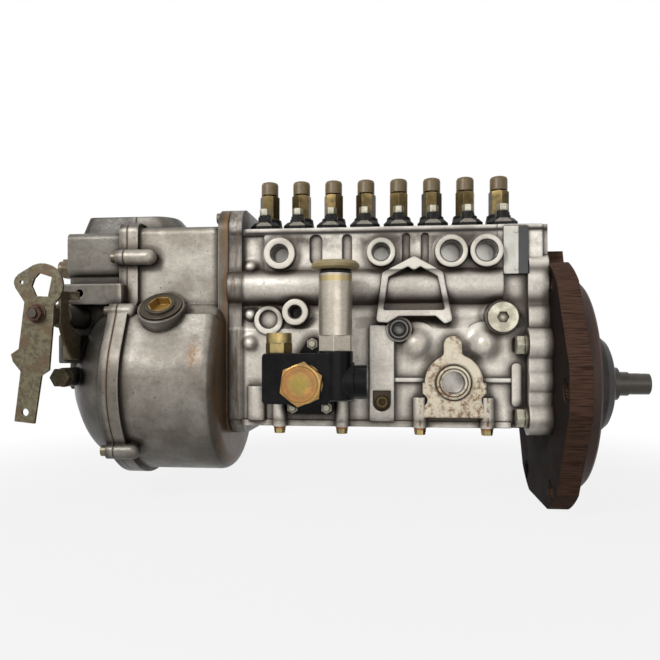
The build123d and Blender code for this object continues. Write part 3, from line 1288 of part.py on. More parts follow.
with BuildPart() as lever_shaft:
    # shaft through the cover, a threaded end outside and the linkage arm inside
    round_bar(front_plane(LEVER_PIVOT, PIVOT_Z, -14.0), LEVER_SHAFT_RADIUS, LEVER_BACK + 14.0)
    round_bar(front_plane(LEVER_PIVOT, PIVOT_Z, LEVER_BACK), LEVER_SHAFT_RADIUS - 1 - RUNNING_FIT, 12.0)
    block(
        front_plane((LEVER_PIVOT + FULCRUM) / 2 - 2, PIVOT_Z, -13.0), FULCRUM - LEVER_PIVOT - 4, 9.0, 7.5, 4.0
    )
    block(front_plane(FULCRUM - 2.0, PIVOT_Z, -13.0), 14.0, 14.0, 7.5, 3.0)
finish(lever_shaft, "lever_shaft")

with BuildPart() as lever_nut:
    round_bar(front_plane(LEVER_PIVOT, PIVOT_Z, NUT_SEAT), 9.0, 1.5)
    hex_bar(front_plane(LEVER_PIVOT, PIVOT_Z, NUT_SEAT + 1.5), 13.0, 5.0)
    round_bar(front_plane(LEVER_PIVOT, PIVOT_Z, NUT_SEAT), LEVER_SHAFT_RADIUS - 1, 7.0, mode=Mode.SUBTRACT)
finish(lever_nut, "lever_nut")

BRACKET_FOOT = 70.0
BRACKET_X = LEVER_PIVOT + 12.0
with BuildPart() as lever_bracket:
    # bent strip from the lower block of the cover up past the lever's shaft, with a stop tab on top
    block(front_plane(BRACKET_X - 6.0, 37.0, BRACKET_FOOT), 17.0, 24.0, 2.5, 2.0)
    outline_block(
        end_plane(BRACKET_X),
        [
            (-BRACKET_FOOT, 26),
            (-BRACKET_FOOT, 48),
            (-92, 62),
            (-94, 92),
            (-108, 92),
            (-110, 60),
            (-100, 40),
            (-84, 26),
        ],
        2.5,
    )
    block(front_plane(BRACKET_X + 7.0, 88.0, 94.0), 14.0, 8.0, 2.5, 1.0)
    with Locations((BRACKET_X - 8.0, -BRACKET_FOOT, 37.0)):
        Cylinder(3.0, 8.0, rotation=(90, 0, 0), mode=Mode.SUBTRACT)
finish(lever_bracket, "lever_bracket")

with BuildPart() as stop_screws:
    hex_bar(front_plane(LEVER_PIVOT + 8.0, 8.0, 92.0), 17.0, 8.0)
    cap_plane = Plane(origin=(COVER_END, -BOX_HALF_WIDTH + 12.0, 122.0), x_dir=(0, 1, 0), z_dir=(-1, 0, 0))
    hex_bar(cap_plane, 20.0, 8.0)
    round_bar(cap_plane.offset(8.0), 8.5, 5.0)
finish(stop_screws, "stop_screws")

# ------------------------------------------------------------------ feed pump
FEED_FLANGE = 8.0
NECK_FACE = FRONT + FEED_FLANGE
UNION_OFFSET = -25.0
UNION_DEPTH = 95.0
BODY_TOP = 32.0
BODY_BOTTOM = -15.0
PRIMER_FOOT = BODY_TOP + 2.0
PRIMER_BORE = 9.0
HEX_PART = 14.5

with BuildPart() as feed_pump_body:
    # three-eared flange on the pump housing
    with BuildSketch(front_plane(FEED_AXIS, FEED_AXIS_HEIGHT, FRONT)) as ears:
        for stud_x, stud_z in FEED_STUDS:
            with Locations((stud_x, stud_z)):
                Circle(7.0)
        Circle(24.0)
        make_hull()
    extrude(amount=FEED_FLANGE)
    round_bar(front_plane(FEED_AXIS, FEED_AXIS_HEIGHT, FRONT), 23.0, FEED_BODY_FRONT - FRONT)
    # body with the union boss on the left, the primer boss and the outlet boss on the right
    block(
        front_plane(FEED_AXIS - 6.5, (BODY_TOP + BODY_BOTTOM) / 2, FEED_BODY_BACK),
        63.0,
        BODY_TOP - BODY_BOTTOM,
        FEED_BODY_FRONT - FEED_BODY_BACK,
        4.0,
    )
    round_bar(
        level_plane(PRIMER_AXIS, -PRIMER_DEPTH + 4, BODY_BOTTOM + 4), 16.5, PRIMER_FOOT - BODY_BOTTOM - 4
    )
    round_bar(cross_plane(FEED_AXIS, -PRIMER_DEPTH + 8, 5.0), 16.0, 58.5)
    round_bar(cross_plane(FEED_AXIS, -PRIMER_DEPTH + 8, 5.0), 18.5, 46.0)
    round_bar(front_plane(FEED_AXIS, FEED_AXIS_HEIGHT, FRONT), FEED_TAPPET_BORE, 30.0, mode=Mode.SUBTRACT)
    bore(
        front_plane(FEED_AXIS, FEED_AXIS_HEIGHT, FEED_BODY_FRONT), FEED_BORE, -34.0
    )
    bore(
        level_plane(PRIMER_AXIS, -PRIMER_DEPTH + 4, PRIMER_FOOT - 12), PRIMER_BORE, 12.0
    )
    for stud_x, stud_z in FEED_STUDS:
        round_bar(
            front_plane(FEED_AXIS + stud_x, FEED_AXIS_HEIGHT + stud_z, FRONT),
            FEED_STUD_RADIUS + RUNNING_FIT,
            FEED_FLANGE,
            mode=Mode.SUBTRACT,
        )
        round_bar(
            front_plane(FEED_AXIS + stud_x, FEED_AXIS_HEIGHT + stud_z, NECK_FACE),
            6.5,
            12.0,
            mode=Mode.SUBTRACT,
        )
    bore(
        level_plane(FEED_AXIS + UNION_OFFSET, -UNION_DEPTH, BODY_TOP), 8.0, -14.0
    )
finish(feed_pump_body, "feed_pump_body")

with BuildPart() as feed_pump_plug:
    round_bar(front_plane(FEED_AXIS, FEED_AXIS_HEIGHT, FEED_BODY_FRONT), FEED_PLUG_FLATS / 2 + 0.8, 2.0)
    hex_bar(
        front_plane(FEED_AXIS, FEED_AXIS_HEIGHT, FEED_BODY_FRONT + 2), FEED_PLUG_FLATS, FEED_PLUG_HEIGHT, 22.0
    )
    hex_chamfer(
        facing_front(FEED_AXIS, FEED_AXIS_HEIGHT, FEED_BODY_FRONT + 2), FEED_PLUG_FLATS, FEED_PLUG_HEIGHT
    )
    round_bar(front_plane(FEED_AXIS, FEED_AXIS_HEIGHT, FEED_BODY_FRONT), FEED_BORE, -8.0)
finish(feed_pump_plug, "feed_pump_plug")

PISTON_START = FEED_BODY_FRONT - 33.0
with BuildPart() as feed_piston_and_spring:
    round_bar(front_plane(FEED_AXIS, FEED_AXIS_HEIGHT, PISTON_START), FEED_BORE - RUNNING_FIT, 12.0)
    round_bar(
        front_plane(FEED_AXIS, FEED_AXIS_HEIGHT, PISTON_START + 12), 9.0, FEED_BODY_FRONT - 20 - PISTON_START
    )
    round_bar(
        front_plane(FEED_AXIS, FEED_AXIS_HEIGHT, PISTON_START + 12),
        6.5,
        FEED_BODY_FRONT - 20 - PISTON_START,
        mode=Mode.SUBTRACT,
    )
finish(feed_piston_and_spring, "feed_piston_and_spring")

FEED_CAM_REACH = FEED_CAM_RADIUS + FEED_CAM_THROW
with BuildPart() as feed_tappet:
    round_bar(
        front_plane(FEED_AXIS, FEED_AXIS_HEIGHT, FEED_CAM_REACH + SEAT_GAP),
        FEED_TAPPET_RADIUS,
        PISTON_START - FEED_CAM_REACH - 2 * SEAT_GAP,
    )
finish(feed_tappet, "feed_tappet")

with BuildPart() as feed_pump_nuts:
    for stud_x, stud_z in FEED_STUDS:
        stud_plane = front_plane(FEED_AXIS + stud_x, FEED_AXIS_HEIGHT + stud_z, NECK_FACE)
        hex_bar(stud_plane, NUT_FLATS, 6.0, 30.0)
        round_bar(
            stud_plane.offset(1 - FEED_FLANGE - FEED_STUD_DEPTH),
            FEED_STUD_RADIUS,
            FEED_FLANGE + FEED_STUD_DEPTH + 7,
        )
finish(feed_pump_nuts, "feed_pump_nuts")

with BuildPart() as feed_union:
    union_seat = level_plane(FEED_AXIS + UNION_OFFSET, -UNION_DEPTH, BODY_TOP)
    hex_bar(union_seat, 22.0, 9.5)
    round_bar(union_seat.offset(9.5), 12.0, 9.5)
    round_bar(union_seat, 8.0, -12.0)
    round_bar(union_seat.offset(-12.0), 4.5, 31.0, mode=Mode.SUBTRACT)
finish(feed_union, "feed_union")

PRIMER_Y = -PRIMER_DEPTH + 4
with BuildPart() as primer_cylinder:
    hex_bar(level_plane(PRIMER_AXIS, PRIMER_Y, PRIMER_FOOT), 29.0, HEX_PART, 30.0)
    round_bar(
        level_plane(PRIMER_AXIS, PRIMER_Y, PRIMER_FOOT + HEX_PART),
        PRIMER_RADIUS,
        PRIMER_TOP - PRIMER_FOOT - HEX_PART,
    )
    round_bar(level_plane(PRIMER_AXIS, PRIMER_Y, PRIMER_FOOT), PRIMER_BORE, -10.0)
    round_bar(
        level_plane(PRIMER_AXIS, PRIMER_Y, PRIMER_FOOT + 6),
        11.0,
        PRIMER_TOP - PRIMER_FOOT - 6 - 8,
        mode=Mode.SUBTRACT,
    )
    bore(level_plane(PRIMER_AXIS, PRIMER_Y, PRIMER_TOP - 8), 4.0, 8.0)
finish(primer_cylinder, "primer_cylinder")

with BuildPart() as primer_knob:
    turned(
        upright(PRIMER_AXIS, PRIMER_Y, KNOB_BASE),
        [
            (4.0, -1.5),
            (12.0, -1.5),
            (12.0, 0),
            (KNOB_RADIUS - 2, 0),
            (KNOB_RADIUS, 2.0),
            (KNOB_RADIUS, KNOB_THICKNESS - 3),
            (KNOB_RADIUS - 2.5, KNOB_THICKNESS),
            (0, KNOB_THICKNESS),
            (0, KNOB_THICKNESS - 3),
            (4.0, KNOB_THICKNESS - 3),
        ],
    )
finish(primer_knob, "primer_knob")

PRIMER_PISTON_FOOT = PRIMER_FOOT + 6 + SEAT_GAP
with BuildPart() as primer_rod:
    round_bar(level_plane(PRIMER_AXIS, PRIMER_Y, PRIMER_PISTON_FOOT), 11.0 - RUNNING_FIT, 12.0)
    round_bar(
        level_plane(PRIMER_AXIS, PRIMER_Y, PRIMER_PISTON_FOOT),
        4.0,
        KNOB_BASE + KNOB_THICKNESS - 3 - PRIMER_PISTON_FOOT,
    )
finish(primer_rod, "primer_rod")

# ------------------------------------------------------------------ plugs and name plate
with BuildPart() as gallery_plug:
    round_bar(front_plane(GALLERY_PLUG[0], GALLERY_PLUG[1], GALLERY_PAD), 14.5, 5.0)
    round_bar(front_plane(GALLERY_PLUG[0], GALLERY_PLUG[1], GALLERY_PAD), PLUG_THREAD, -8.0)
    hex_bar(front_plane(GALLERY_PLUG[0], GALLERY_PLUG[1], GALLERY_PAD + 5), 10.5, -4.5, mode=Mode.SUBTRACT)
finish(gallery_plug, "gallery_plug")

with BuildPart() as blanking_plug:
    round_bar(front_plane(BLANK_PLUG[0], BLANK_PLUG[1], BLANK_PAD), 10.5, 1.5)
    round_bar(front_plane(BLANK_PLUG[0], BLANK_PLUG[1], BLANK_PAD), 9.5, -8.0)
    hex_bar(front_plane(BLANK_PLUG[0], BLANK_PLUG[1], BLANK_PAD + 1.5), 8.0, -7.0, mode=Mode.SUBTRACT)
finish(blanking_plug, "blanking_plug")

with BuildPart() as name_plate:
    block(front_plane(PLATE_X, PLATE_Z, PLATE_PAD), PLATE_WIDTH, PLATE_HEIGHT, 0.8, 1.5)
    for side in (-1, 1):
        rivet_plane = front_plane(PLATE_X, PLATE_Z + side * (PLATE_HEIGHT / 2 - 5), PLATE_PAD + 0.8)
        round_bar(rivet_plane, 1.8, 0.8)
finish(name_plate, "name_plate")
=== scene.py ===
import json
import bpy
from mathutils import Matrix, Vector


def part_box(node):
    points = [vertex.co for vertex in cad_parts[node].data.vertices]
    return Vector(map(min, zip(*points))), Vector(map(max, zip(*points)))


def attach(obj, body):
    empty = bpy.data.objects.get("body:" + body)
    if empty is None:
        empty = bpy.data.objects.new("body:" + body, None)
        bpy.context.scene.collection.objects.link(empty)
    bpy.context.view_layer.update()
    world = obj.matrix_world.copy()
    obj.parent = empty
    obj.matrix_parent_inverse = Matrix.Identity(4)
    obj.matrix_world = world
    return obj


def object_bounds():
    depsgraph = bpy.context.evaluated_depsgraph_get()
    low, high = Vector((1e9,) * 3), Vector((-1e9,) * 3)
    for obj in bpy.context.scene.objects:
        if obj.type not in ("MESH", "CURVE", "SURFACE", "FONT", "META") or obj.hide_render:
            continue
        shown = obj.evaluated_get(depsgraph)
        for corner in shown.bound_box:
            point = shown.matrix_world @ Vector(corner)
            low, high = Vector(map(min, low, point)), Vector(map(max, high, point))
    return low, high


bl_info = {
    "name": "In-line Injection Pump Looks",
    "version": (1, 0, 0),
    "blender": (4, 5, 0),
    "location": "View3D > Sidebar > Injection Pump",
    "description": "Finishes and small trim for an eight-outlet diesel injection pump, with its studio stage",
    "category": "Object",
}

from math import cos, pi, radians, sin

import bmesh
import bpy
from mathutils import Vector

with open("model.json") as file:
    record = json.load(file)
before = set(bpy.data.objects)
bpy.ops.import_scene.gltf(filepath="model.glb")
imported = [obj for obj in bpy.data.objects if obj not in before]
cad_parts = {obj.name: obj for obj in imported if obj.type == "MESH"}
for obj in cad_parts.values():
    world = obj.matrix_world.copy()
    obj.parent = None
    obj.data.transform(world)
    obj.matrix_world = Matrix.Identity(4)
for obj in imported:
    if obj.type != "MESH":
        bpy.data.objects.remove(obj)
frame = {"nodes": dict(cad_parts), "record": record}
CAD_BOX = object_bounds()
MM = 0.001

# Places on the castings, in millimetres. A box is its low and high X, then its low and high Z. A pair
# whose name ends in START is where a mask has nothing yet, then where it is full.
LIP_Z = 153.6
UNDER_LIP_Z = 146.0
GALLERY_TOP_Z = 114.0
GALLERY_Z = 97.0
GALLERY_FOOT_Z = 83.0
FOOT_Z = -35.0
JOINT_X = -338.0
HOUSING_START_X = -322.5
COVER_JOINT_X = -446.5
HOUSING_RIM_START = (-323.0, -325.0)
GOVERNOR_RIM_START = (-350.0, -348.0)
GOVERNOR_BOX_X_START = (-452.0, -444.0)
GOVERNOR_BOX_Z_START = (66.0, 84.0)
COVER_START = (-449.0, -453.0)
DOME_START = (78.0, 60.0)
HUMP_START = (160.0, 164.0)
HOLDER_FOOT_START = (203.0, 196.0)
PORT_ROW = (-300.0, -60.0, 114.0, 150.0)
SIDE_PORT = (-285.0, -252.0, 58.0, 90.0)
PAD = (-148.0, -76.0, -40.0, 52.0)
PAD_BORE = (-123.0, -100.0, -8.0, 14.0)
POCKET = (-192.0, -171.0, -28.0, 0.0)
PLATE_BAND_X = -49.0
NECK_Z = (98.5, 104.0)
BUSH_BAR_Z = (164.6, 168.6)
# How far forward of the middle the port rings' faces and the bushes' faces lie, and two floors' Y
RING_DEPTH = 57.6
BUSH_DEPTH = 31.3
PORT_FLOOR_Y = (-33.4, -31.0)
PAD_FLOOR_Y = (-45.4, -43.0)
# Centres of turned faces on the front, as X and Z
PAD_CENTRE = (-111.6, 3.0)
FEED_PLUG_CENTRE = (-253.5, 4.0)
BLANK_PLUG_CENTRE = (-164.6, 55.6)
PAD_GROOVES = (17.2, 13.6)

# Middle of the filler cap and the way it faces, and the foot of the pocket's screw
CAP_CENTRE = Vector((-401.5, -72.0, 78.0)) * MM
CAP_AXIS = Vector((0, -cos(radians(48)), sin(radians(48))))
POCKET_SCREW_PLACE = (-181.5 * MM, -43.0 * MM, -17.0 * MM)

# Name, place from the middle of the pump and size in metres, and power in watts
LAMPS = (
    ("Key", (-0.75, -1.2, 0.85), 0.45, 18.0),
    ("Fill", (0.45, -1.7, 0.1), 1.3, 10.0),
    ("Top", (0.1, 0.1, 1.7), 1.0, 4.0),
)
SOFT_LIGHT = 0.13                  # strength of the world where it only lights
CAMERA_PLACE = (-165.3 * MM, -701.1 * MM, 35 * MM)
CAMERA_YAW = radians(6.0)
CAMERA_SHIFT = 20 / 660            # share of the square frame by which the pump sits lower
FOCAL_LENGTH = 35.45               # millimetres, as the sensor's width is
SENSOR_WIDTH = 36.0


# ---------------------------------------------------------------- colour and node helpers
def linear(hex_colour):
    """Turn an sRGB hex colour into the linear RGBA that shaders take."""
    channels = [int(hex_colour[i : i + 2], 16) / 255 for i in (0, 2, 4)]
    return tuple(c / 12.92 if c <= 0.04045 else ((c + 0.055) / 1.055) ** 2.4 for c in channels) + (1.0,)


def add_node(tree, kind, settings=None, links=None, give=None):
    """Add a node, set its properties and input values, and link sockets into its inputs.

    Returns the output that give names, or the node where it names none.
    """
    node = tree.nodes.new("ShaderNode" + kind)
    for key, value in (settings or {}).items():
        if isinstance(key, str) and hasattr(node, key):
            setattr(node, key, value)
        else:
            node.inputs[key].default_value = value
    for key, socket in (links or {}).items():
        tree.links.new(socket, node.inputs[key])
    return node if give is None else node.outputs[give]


PATTERN_DEFAULTS = (None, 0.0, 1.0, 0.0, 1.0, "LINEAR")
EASED = "SMOOTHSTEP"


def mask_of(tree, *patterns, join="MULTIPLY"):
    """Mask that is high where every pattern is, or where any is if they are joined by MAXIMUM.

    A pattern is a socket, or a socket with its low and high, what it gives at each, and EASED where it
    goes from one to the other gently. It gives 0 and 1 unless it says otherwise.
    """
    mask = None
    for pattern in patterns:
        if isinstance(pattern, tuple):
            value, low, high, at_low, at_high, easing = pattern + PATTERN_DEFAULTS[len(pattern) :]
            bounds = {"From Min": low, "From Max": high, "To Min": at_low, "To Max": at_high}
            pattern = add_node(
                tree, "MapRange", {"interpolation_type": easing, **bounds}, {"Value": value}, "Result"
            )
        if mask is None:
            mask = pattern
        else:
            mask = add_node(tree, "Math", {"operation": join, "use_clamp": True}, {0: mask, 1: pattern}, 0)
    return mask


def seen_directly(tree):
    """One for rays that come from the camera, a mirror or clear material, and zero for soft light."""
    ray = add_node(tree, "LightPath")
    kinds = ("Is Camera Ray", "Is Glossy Ray", "Is Transmission Ray")
    return mask_of(tree, *(ray.outputs[kind] for kind in kinds), join="MAXIMUM")


def new_tree(owner):
    """Empty node tree of a material or world."""
    owner.use_nodes = True
    owner.node_tree.nodes.clear()
    return owner.node_tree


def colour_prop(name, description, hex_colour):
    return bpy.props.FloatVectorProperty(
        name=name, description=description, subtype="COLOR", size=4, min=0, max=1, default=linear(hex_colour)
    )


def length_prop(name, description, millimetres):
    return bpy.props.FloatProperty(
        name=name, description=description, subtype="DISTANCE", unit="LENGTH", min=0, default=millimetres * MM
    )


class PumpColours(bpy.types.PropertyGroup):
    """Colours of the finishes."""

    casting: colour_prop("Casting", "Blasted aluminium of the pump housing", "E6DFD3")
    casting_stain: colour_prop("Casting stain", "Oil that dried brown on the housing", "6E5234")
    machined: colour_prop("Machined face", "Faced port rings of the housing", "D8D2C4")
    pad: colour_prop("Pad face", "Faced pad that has gone cream", "D6CBB5")
    governor: colour_prop("Governor", "Oily aluminium of the governor castings", "9F998F")
    # Colour of black grease in corners and joints, also used for painted shade in creases and under the top
    # lip
    grease_and_shade: colour_prop("Grime", "Black grease in the corners of the castings", "1D1814")
    flange: colour_prop("Flange plate", "Mill scale on the flange plate", "171210")
    flange_rust: colour_prop("Flange rust", "Brown rust on the flange plate", "241B18")
    cut_edge: colour_prop("Cut edge", "Brown torch-cut edge of the flange plate", "513C31")
    pilot: colour_prop("Pilot ring", "Turned face that has tarnished brown", "3E2E28")
    nose: colour_prop("Bearing plate", "Dark cast nose round the drive shaft", "1E1C1B")
    shaft: colour_prop("Shaft steel", "Ground shaft with a dull film", "3A342B")
    zinc: colour_prop("Zinc", "Clear zinc on nuts and bolts", "C0BCA6")
    yellow_zinc: colour_prop("Yellow zinc", "Yellow passivated fittings", "A8925E")
    gold: colour_prop("Gold zinc", "Bright yellow plug of the feed pump", "9C8052")
    holder: colour_prop("Valve holder", "Yellow-brown valve holders", "846F45")
    blued: colour_prop("Blued steel", "Blackened flanged bushes", "191919")
    bare_steel: colour_prop("Bare steel", "Machined and oiled inner pieces", "8E8F90")
    cap: colour_prop("Outlet cap", "Olive brown moulded caps", "6C5838")
    black_paint: colour_prop("Black paint", "Satin black feed pump casting", "0B0B0D")
    nickel: colour_prop("Nickel", "Satin plated primer cylinder", "ACA497")
    knob: colour_prop("Knob", "Nylon that has turned yellow", "8C7F58")
    copper: colour_prop("Copper", "Dull copper washers", "A2673F")
    lever: colour_prop("Lever plate", "Olive zinc on the pressed lever", "6F6950")
    rust: colour_prop("Rust", "Orange brown rust", "7A4A28")
    rusty_nut: colour_prop("Rusty nut", "Dark brown rust on the lever's nut", "54382A")
    bronze: colour_prop("Filler cap", "Brown oily metal of the filler cap", "4A4234")
    plate: colour_prop("Name plate", "Bare white plate", "E6E4DC")
    rubber: colour_prop("Rubber", "Seal rings", "161616")
    floor: colour_prop("Floor", "Paper that the pump stands on", "8C8C8C")


class PumpSizes(bpy.types.PropertyGroup):
    """Sizes of the pieces that are modelled here."""

    spring_radius: length_prop("Spring radius", "Mean radius of the lever's return spring", 11.5)
    spring_wire: length_prop("Spring wire", "Radius of the return spring's wire", 1.3)
    spring_rise: length_prop("Spring rise", "Rise of the return spring per turn", 3.4)
    spring_standoff: length_prop("Spring standoff", "From the lever's front to the spring's near end", 8.0)
    spring_turns: bpy.props.IntProperty(
        name="Spring turns", description="Turns of the return spring", min=1, default=3
    )
    seal_radius: length_prop("Seal radius", "Mean radius of the primer's seal ring", 13.6)
    seal_section: length_prop("Seal section", "Radius of the seal ring's section", 1.45)
    socket_screw_radius: length_prop("Socket screw", "Head radius of the screw in the front pocket", 6.4)
    floor_gap: length_prop("Floor gap", "Gap between the flange plate's lowest edge and the floor", 0.5)
    backdrop_size: length_prop("Backdrop", "Side of the square floor", 9000.0)


def colours():
    return bpy.context.scene.pump_colours


def sizes():
    return bpy.context.scene.pump_sizes


# ---------------------------------------------------------------- layers of a finish
def recolour(parts, colour):
    """Give the shader a colour, which the next layer then lies on."""
    parts["colour"] = colour
    parts["tree"].links.new(colour, parts["surface"].inputs["Base Color"])


def tint(parts, colour, *patterns):
    """Lay a colour over a finish where every pattern is high."""
    tree = parts["tree"]
    links = {0: mask_of(tree, *patterns), 6: parts["colour"]}
    recolour(parts, add_node(tree, "Mix", {"data_type": "RGBA", 7: colour}, links, 2))


def tone(parts, *pattern):
    """Multiply a finish's colour by what a pattern gives."""
    tree = parts["tree"]
    links = {0: parts["colour"], "Scale": mask_of(tree, pattern)}
    recolour(parts, add_node(tree, "VectorMath", {"operation": "SCALE"}, links, "Vector"))


def tone_where(parts, amount, *patterns):
    """Multiply a finish's colour by an amount where every pattern is high."""
    tone(parts, mask_of(parts["tree"], *patterns), 0.0, 1.0, 1.0, amount)


def patches(parts, size, detail, roughness, low, high, strength, stretch=None):
    """Mask of uneven patches of a size in millimetres, drawn out where stretch is under 1."""
    tree, place = parts["tree"], parts["place"]
    if stretch:
        place = add_node(tree, "Mapping", {"Scale": stretch}, {"Vector": place}, "Vector")
    settings = {"Scale": 1 / (size * MM), "Detail": detail, "Roughness": roughness}
    pattern = add_node(tree, "TexNoise", settings, {"Vector": place}, "Fac")
    return mask_of(tree, (pattern, low, high, 0.0, strength))


def beyond(parts, axis, start, end):
    """Pattern that rises from none at one place on an axis to full at another, in millimetres."""
    return parts[axis], start * MM, end * MM


def near(parts, axis, centre, reach, strength=1.0, even=False):
    """Mask that is high within a reach of a place on one axis, in millimetres.

    The blotches break it up unless it is even.
    """
    tree = parts["tree"]
    away = add_node(tree, "Math", {"operation": "SUBTRACT", 1: centre * MM}, {0: parts[axis]}, 0)
    away = add_node(tree, "Math", {"operation": "ABSOLUTE"}, {0: away}, 0)
    close = (away, reach * MM, 0.0, 0.0, strength, EASED)
    return mask_of(tree, close) if even else mask_of(tree, close, (parts["blotch"], 0.35, 0.6))


def inside_box(parts, box):
    """Mask over a rectangle in the front view, with borders a millimetre wide."""
    x_low, x_high, z_low, z_high = box
    return mask_of(
        parts["tree"],
        beyond(parts, "X", x_low, x_low + 1),
        beyond(parts, "X", x_high, x_high - 1),
        beyond(parts, "Z", z_low, z_low + 1),
        beyond(parts, "Z", z_high, z_high - 1),
    )


def between_depths(parts, depths):
    """Mask between a front and a rear place on Y, in millimetres, with soft borders."""
    front, rear = depths
    return mask_of(
        parts["tree"],
        beyond(parts, "Y", rear + 1, rear),
        beyond(parts, "Y", front, front + 0.8),
    )


def machined_front(parts, depth):
    """Mask of the flat faces that look forward and stand further forward than a depth in millimetres."""
    tree = parts["tree"]
    facing = add_node(tree, "SeparateXYZ", None, {"Vector": parts["flat"]}, "Y")
    return mask_of(tree, beyond(parts, "Y", -depth, -(depth + 0.6)), (facing, -0.97, -0.995))


def turned_line(parts, centre, radius, reach, strength=1.0):
    """Pattern of a circle in the front view, round a centre given by its X and Z in millimetres."""
    tree = parts["tree"]
    middle = (centre[0] * MM, 0.0, centre[1] * MM)
    spoke = add_node(
        tree, "VectorMath", {"operation": "SUBTRACT", 1: middle}, {0: parts["place"]}, "Vector"
    )
    spoke = add_node(tree, "VectorMath", {"operation": "MULTIPLY", 1: (1, 0, 1)}, {0: spoke}, "Vector")
    length = add_node(tree, "VectorMath", {"operation": "LENGTH"}, {0: spoke}, "Value")
    away = add_node(tree, "Math", {"operation": "SUBTRACT", 1: radius * MM}, {0: length}, 0)
    away = add_node(tree, "Math", {"operation": "ABSOLUTE"}, {0: away}, 0)
    return away, reach * MM, reach * 0.3 * MM, 0.0, strength


def drips(parts, centre, reach):
    """Brown oil that ran down a flange beside a joint, in upright streaks."""
    streaks = patches(parts, 4.0, 4.0, 0.65, 0.42, 0.6, 0.85, stretch=(1.0, 1.0, 0.12))
    tint(parts, linear("5A4632"), near(parts, "X", centre, reach, even=True), streaks)


